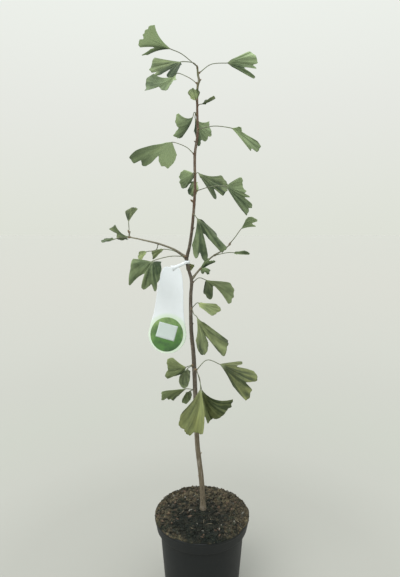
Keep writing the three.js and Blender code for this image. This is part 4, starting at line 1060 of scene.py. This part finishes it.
def marginReach(leaf, number, place):
    # how far the margin reaches, as a share of the length, with softened corners and teeth
    places, reaches = np.array(leaf["margin"]).reshape(-1, 2).T / 100
    soften = leafShape["soften"]
    reach = sum(np.interp(place + shift, places, reaches) for shift in (-soften, 0, soften)) / 3
    wave = 0.5 * leafShape["teethAcross"] * place + 0.7 * np.sin(5 * place + seededTurn(number, 6))
    teeth = 1 - np.abs(np.sin(wave + seededTurn(number, 5))) ** 0.6
    return reach - leafShape["teeth"] * teeth


def bladeAxes(leaf):
    heading, lean, roll = [math.radians(angle) for angle in leaf["pose"][:3]]
    along = np.array([math.cos(heading) * math.cos(lean), -math.sin(lean),
                      math.sin(heading) * math.cos(lean)])
    flat = np.array([-math.sin(heading), 0, math.cos(heading)])
    across = (flat * math.cos(roll) + np.cross(along, flat) * math.sin(roll)
              + along * (along @ flat) * (1 - math.cos(roll)))
    return along, across, np.cross(along, across)


def bladeShape(leaf, number):
    # the blade as a closed thin body, and each point's place across, reach along and side
    along, across, out = bladeAxes(leaf)
    length, spread, fold, droop, hollow, sweep = leaf["pose"][3:]
    fold, bend, sweep = math.radians(fold), math.radians(droop) or 1e-4, math.radians(sweep)
    place = np.linspace(-1, 1, leafShape["columns"])[None, :]
    share = np.linspace(0, 1, leafShape["rows"])[:, None] ** 0.9
    start, neck = leafShape["start"], leafShape["neck"]
    radius = start + share * (length * marginReach(leaf, number, place) - start)
    angle = math.radians(spread / 2) * place * (1 - hollow * (1 - share))
    angle = angle + sweep * (share - 0.5)
    forward, side = radius * np.cos(angle), radius * np.sin(angle)
    waves = leafShape["ruffleWaves"] * place + seededTurn(number, 3)
    ruffle = leafShape["ruffle"] * share ** 2 * np.sin(waves)
    crinkle = np.sin(19 * place + 5 * share + seededTurn(number, 7))
    cockle = leafShape["cockle"] * share * crinkle
    rib = math.pi * leafShape["pleats"] * place + seededTurn(number, 8)
    pleats = (np.sin(rib) + 0.5 * np.sin(2.3 * rib + 1)) / 1.5
    pleat = leafShape["pleatDepth"] * np.minimum(1, 2.5 * share) * pleats
    lift = (np.hypot(side, neck) - neck) * math.sin(fold) + length * (ruffle + cockle) + pleat
    turn = bend * forward / length
    ahead, down = length / bend * np.sin(turn), length / bend * (1 - np.cos(turn))
    middle = (np.array(leaf["base"], float)
              + along * (ahead + lift * np.sin(turn))[..., None]
              + across * (side * math.cos(fold))[..., None]
              + out * (lift * np.cos(turn) - down)[..., None])
    normal = np.cross(np.gradient(middle, axis=0), np.gradient(middle, axis=1))
    normal /= np.maximum(np.linalg.norm(normal, axis=2, keepdims=True), 1e-9)
    half = leafShape["thickness"] / 2 * (1 - (1 - leafShape["rim"]) * share[..., None] ** 6)
    points, faces = skinned(middle + normal * half, middle - normal * half)
    places = np.tile(np.broadcast_to(place, radius.shape).ravel(), 2)
    reach = np.tile((radius / length).ravel(), 2)
    # the blade's lightness is its own tone and painted shade, and it is painted lighter or darker
    # towards the margin and across the fan as light and shade
    light, warm, paintedShadeOutward, paintedShadeAcross = leaf["tintAndPaintedShade"]
    layers = {
        "fanPlace": places, "fanReach": reach, "underside": np.repeat([0.0, 1.0], radius.size),
        "bladeLight": light + paintedShadeOutward * (reach - 0.6) + paintedShadeAcross * places,
        "bladeWarm": np.full(len(points), warm), "bladeNumber": np.full(len(points), number),
    }
    return points, faces, layers


def leafFinish():
    finish = Finish("leafBlade", 0.55, 0.2)
    place, reach, below, light, warm, number = [
        finish.node("ShaderNodeAttribute", {"attribute_name": key}, {}, "Fac") for key in (
            "fanPlace", "fanReach", "underside", "bladeLight", "bladeWarm", "bladeNumber")]
    mottle = finish.noise(95)
    # the veins fork twice on their way out
    near, far = finish.fade(reach, 0.42, 0.3), finish.fade(reach, 0.62, 0.8)
    between = finish.fade(reach, 0.3, 0.42) * finish.fade(reach, 0.8, 0.62)
    veins = 0
    for count, sharp, share in ((22, 5, near), (44, 5, between), (88, 4, far)):
        waves = {0: place * (count * math.pi)}
        wave = finish.node("ShaderNodeMath", {"operation": "COSINE"}, waves)
        veins = (0.5 * wave + 0.5) ** sharp * share + veins
    # painted shade: broad streaks run out with the veins, painted lighter on the ribs and darker in
    # the furrows between them
    rib = finish.node("ShaderNodeCombineXYZ", {}, {
        "X": place * 3.4, "Y": reach * 0.9, "Z": number * 2.7})
    paintedRibShade = finish.noise(1.6, 1, rib)
    # the blade's lightness here: its own tone with painted shade, the painted rib streaks and a
    # mottle
    shade = light + 0.9 * (paintedRibShade - 0.5) + 0.35 * (mottle - 0.5)
    shade = shade + finish.fade(reach, 0.84, 1.0, 0, 0.12)
    cool, warmer = [finish.blend(shade, *leafColours[key]) for key in ("cool", "warm")]
    surface = finish.blend(warm + 0.4 * (finish.noise(40, 2) - 0.5), cool, warmer)
    for share, colour in ((below * 0.12, "under"), (finish.fade(reach, 0.2, 0.04, 0, 0.3), "vein"),
                          (veins * 0.08, "vein")):
        surface = finish.blend(share, surface, leafColours[colour])
    relief = veins * 0.6 + finish.noise(900, 2) * 0.2 + mottle * 0.3
    return finish.look(surface, relief, 0.1, 0.46 + 0.2 * mottle)


def stalkShape(leaf, mass):
    # thickest at its foot, and thinning where it runs on into the blade
    centre, depth = limbOf(mass)
    root = centre + direction(mass["turn"], mass["rise"]) * (depth + shoot["length"] * 0.6)
    base = np.array(leaf["base"], float)
    end = base + bladeAxes(leaf)[0] * stalk["inside"]
    line = smoothLine([root, *leaf.get("via", []), base, end], stalk["steps"])
    u = np.linspace(0, 1, len(line))
    radius = stalk["middle"] + (stalk["foot"] - stalk["middle"]) * np.exp(-(u * 9) ** 2)
    radius += (stalk["head"] - stalk["middle"]) * np.clip((u - 0.7) / 0.3, 0, 1)
    away = np.linalg.norm(line - base, axis=1)
    inside = np.arange(len(line)) > np.argmin(away)
    radius = radius * np.clip(1.15 - away / stalk["inside"] * inside, 0.22, 1)
    return tube(line, radius, stalk["sides"])


def makeLeaves():
    finish = leafFinish()
    number, stalks = 0, []
    for order, mass in enumerate(masses, 1):
        blades = []
        for leaf in mass["leaves"]:
            number += 1
            blades.append(bladeShape(leaf, number))
            stalks.append(stalkShape(leaf, mass))
        layers = {key: np.concatenate([blade[2][key] for blade in blades]) for key in blades[0][2]}
        parts = [blade[:2] for blade in blades]
        piece = addPiece(f"leaves{order:02d}", parts, [finish], layers=layers)
        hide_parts(f"foliage_{order:02d}")
    finish = mottledFinish("leafStalks", stalk["green"], stalk["brown"], 130, 0.45, 0.68, 0.12,
                           0.6, 0.4, grainScale=900)
    addPiece("leafStalks", stalks, [finish])


makeLeaves()
print("leaves made")


# The hang tag.

tag = {
    "disc": (-69, -7.45, 543.5), "discRadius": 38, "length": 135, "tilt": 4, "thickness": 0.6,
    "bow": 1.6, "columns": 41, "roundRows": 26, "straightRows": 40,
    # half the label's width by height above the disc's centre
    "halfWidths": [(0, 38), (20, 34.6), (41, 30), (64, 27.6), (88, 26), (110, 23.2),
                   (124, 20.2), (131, 17), (134, 14.5), (135, 12)],
    "print": (32.6, 34.6), "printAt": -1.2, "printSteps": 61, "printDepths": (0.07, -0.1),
    "patchSize": (38, 31), "patchAt": (-1.6, 6), "patchTilt": -11.5, "patchDepths": (0.16, 0.03),
    "loopHeight": 687.5, "loopWidth": 6, "loopWall": 0.9, "loopInside": 4.5, "loopSides": 48,
    # shares of the strap's length and half its width there
    "strapWidths": ([0, 0.25, 1], [6.5, 3.6, 3.0]), "strapSteps": 24,
    "white": "#edf2f7", "ring": "#dcebd8", "green": "#4f7d3a", "dark": "#3b5c36",
    "pale": "#94b070", "patch": "#c8d4d0", "worn": "#dbe0e2", "roughness": 0.4,
}


def tagHalfWidth(height):
    circled = np.sqrt(np.maximum(tag["discRadius"] ** 2 - np.minimum(height, 0) ** 2, 0))
    return np.where(height < 0, circled, np.interp(height, *zip(*tag["halfWidths"])))


def onTag(across, height, proud):
    # a point of the label: across and height from the disc's centre, proud of its middle
    tilt = math.radians(tag["tilt"])
    bowed = tag["bow"] * (np.asarray(across) / tag["discRadius"]) ** 2
    x = across * math.cos(tilt) + height * math.sin(tilt)
    z = -across * math.sin(tilt) + height * math.cos(tilt)
    return np.array(tag["disc"]) + np.stack(np.broadcast_arrays(x, bowed - proud, z), axis=-1)


def addPlate(name, across, height, depths, finish):
    # a thin closed plate over a grid of places on the label, between two depths
    front, back = [onTag(across, height, depth) for depth in depths]
    return addPiece(name, [skinned(back, front)], [finish])


def tagFinish(name, base, ring="", pale=""):
    finish = Finish(name, tag["roughness"], 0.5, coat=0.15)
    soft = finish.noise(45)
    if pale:
        # meadow green, paler toward the sides and the top
        x, y, z = tag["disc"]
        leafy = finish.noise(75, 4, finish.stretched(1, 1, 0.7))
        away = finish.distance((x, y, z - 20)) + 0.03 * (soft - 0.5)
        share = finish.fade(away, 0.024, 0.05, 0, 0.85) * finish.fade(leafy, 0.3, 0.62, 0.25, 1)
        green = finish.blend(finish.fade(soft, 0.3, 0.62), tag["dark"], base)
        colour = finish.blend(share, green, pale)
    else:
        away = finish.distance(tag["disc"])
        paper = finish.blend(finish.fade(away, 0.046, 0.036), base, ring or base)
        colour = finish.blend(finish.fade(soft, 0.4, 0.75, 0, 0.2), paper, tag["worn"])
    return finish.look(colour, finish.noise(500, 2), 0.05, tag["roughness"] + 0.12 * soft)


def strapParts():
    # the loop round the stem and the strap that runs to it from the label
    centre, wall, inside = stemPoint(tag["loopHeight"]), tag["loopWall"], tag["loopInside"]
    low, high = [centre[2] + s * tag["loopWidth"] / 2 for s in (-1, 1)]
    count, steps = tag["loopSides"], tag["strapSteps"]
    rings = [ringOf(radius, z, count, *centre[:2]) for radius, z in (
        (inside, low), (inside + wall, low), (inside + wall, high), (inside, high))]
    loopFaces = [face[::-1] for face in grid(4, count, closed=True)]
    for i in range(count):
        after = (i + 1) % count
        loopFaces.append((after, i, i + 3 * count, after + 3 * count))
    top = onTag(0.0, tag["length"] - 3.0, 0.0)
    end = centre + np.array([-1.2, -inside - wall / 2, 0])
    line = smoothLine([top, top * 0.5 + end * 0.5 + [0, -0.8, -0.6], end], steps)
    width = np.interp(np.linspace(0, 1, steps), *tag["strapWidths"])[:, None]
    upward = np.cross((end - top) / np.linalg.norm(end - top), [0, 1, 0])
    upward *= np.sign(upward[2])
    strap = np.stack([line + way * upward * width + [0, side * wall / 2, 0]
                      for way, side in ((1, -1), (1, 1), (-1, 1), (-1, -1))], axis=1)
    last = 4 * steps - 4
    strapFaces = grid(steps, 4, closed=True)
    strapFaces += [(3, 2, 1, 0), (last, last + 1, last + 2, last + 3)]
    return [(np.vstack(rings), loopFaces), (strap.reshape(-1, 3), strapFaces)]


def makeTag():
    half, wide = tag["thickness"] / 2, tag["columns"]
    bottom = -tag["discRadius"] * np.cos(np.linspace(0, math.pi / 2, tag["roundRows"]))
    straight = np.linspace(2, 123, tag["straightRows"])
    shoulder = [126, 129, 131, 133, 134.2, tag["length"]]
    height = np.concatenate([bottom, straight, shoulder])[:, None]
    across = np.linspace(-1, 1, wide)[None, :] * np.maximum(tagHalfWidth(height), 0.4)
    label = addPlate("tagLabel", across, np.repeat(height, wide, axis=1), (half, -half),
                     tagFinish("whiteLabel", tag["white"], ring=tag["ring"]))
    loop = addPiece("tagStrap", strapParts(), [tagFinish("whiteStrap", tag["white"])])

    # a square grid drawn out into a disc
    u, v = np.meshgrid(*[np.linspace(-1, 1, tag["printSteps"])] * 2)
    x = tag["printAt"] + tag["print"][0] * u * np.sqrt(1 - v ** 2 / 2)
    z = tag["print"][1] * v * np.sqrt(1 - u ** 2 / 2)
    addPlate("tagDisc", x, z, half + np.array(tag["printDepths"]),
             tagFinish("greenPrint", tag["green"], pale=tag["pale"]))

    u, v = np.meshgrid(*[np.linspace(-0.5, 0.5, count) * size for count, size in zip(
        (16, 14), tag["patchSize"])])
    turn = math.radians(tag["patchTilt"])
    x = tag["patchAt"][0] + u * math.cos(turn) - v * math.sin(turn)
    z = tag["patchAt"][1] + u * math.sin(turn) + v * math.cos(turn)
    addPlate("tagPatch", x, z, half + np.array(tag["patchDepths"]),
             tagFinish("blankPatch", tag["patch"]))
    for piece in (label, loop):
        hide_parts("hang_tag")


makeTag()
print("hang tag made")


# Floor, light and camera.

studio = {
    # the floor and the camera's place are in metres
    "floorSize": 60,
    # the floor's colour by its distance from the pot, as distance over distance plus a metre:
    # painted shade, darker near the pot and paler further off
    "floor": [(0.3, "#9e9e97"), (0.4, "#a4a49d"), (0.5, "#a5a69e"), (0.6, "#a7a7a0"),
              (0.7, "#aaaaa3"), (0.85, "#adaca5"), (1.0, "#aeaea7")],
    # the world's colour and strength by height, from the horizon to overhead
    "world": [(0.0, "#dee1d7"), (0.24, "#e6e8e2"), (0.46, "#eef2ec"), (1.0, "#f2f5fa")],
    "overhead": 2.3,
    "sunFrom": (-0.55, -0.8, 1.15), "sunStrength": 1.5, "sunAngle": 42,
    "camera": (-0.004, -0.929, 0.752), "pitch": -3.23, "lens": 29.19, "shift": -0.0563,
    "sensor": 36,
}


def makeStage():
    size = studio["floorSize"]
    mesh = bpy.data.meshes.new("floor")
    corners = [(-size, -size, 0), (size, -size, 0), (size, size, 0), (-size, size, 0)]
    mesh.from_pydata(corners, [], [(0, 1, 2, 3)])
    floor = placed("floor", mesh)
    finish = Finish("paleFloor", 0.9, 0.1)
    away = finish.distance((0, 0, 0))
    away = {"Fac": away / (away + 1)}
    # painted shade: the floor is darker near the pot and paler further off
    finish.give(finish.shader, {
        "Base Color": finish.node("ShaderNodeValToRGB", {"stops": studio["floor"]}, away)})
    mesh.materials.append(finish.material)

    sun = bpy.data.lights.new("sun", "SUN")
    sun.energy = studio["sunStrength"]
    sun.angle = math.radians(studio["sunAngle"])
    towards = Vector(studio["sunFrom"]).to_track_quat("Z", "Y")
    placed("sun", sun).rotation_euler = towards.to_euler()

    world = bpy.data.worlds.new("studio")
    bpy.context.scene.world = world
    sky = Shading(world, "Background")
    around = sky.node("ShaderNodeTexCoord", {}, {}, "Generated")
    height = sky.node("ShaderNodeSeparateXYZ", {}, {"Vector": around}, "Z")
    sky.give(sky.shader, {
        "Color": sky.node("ShaderNodeValToRGB", {"stops": studio["world"]}, {"Fac": height}),
        "Strength": sky.node("ShaderNodeMapRange", {}, {
            "Value": height, "From Min": 0.5, "From Max": 1.0, "To Min": 1.0,
            "To Max": studio["overhead"]})})

    camera = bpy.data.cameras.new("camera")
    camera.sensor_width = studio["sensor"]
    camera.lens = studio["lens"]
    camera.shift_y = studio["shift"]
    eye = placed("camera", camera)
    eye.location = studio["camera"]
    eye.rotation_euler = (math.radians(90 + studio["pitch"]), 0, 0)
    bpy.context.scene.camera = eye
    bpy.context.scene.view_settings.view_transform = "Standard"


makeStage()
print("stage made")
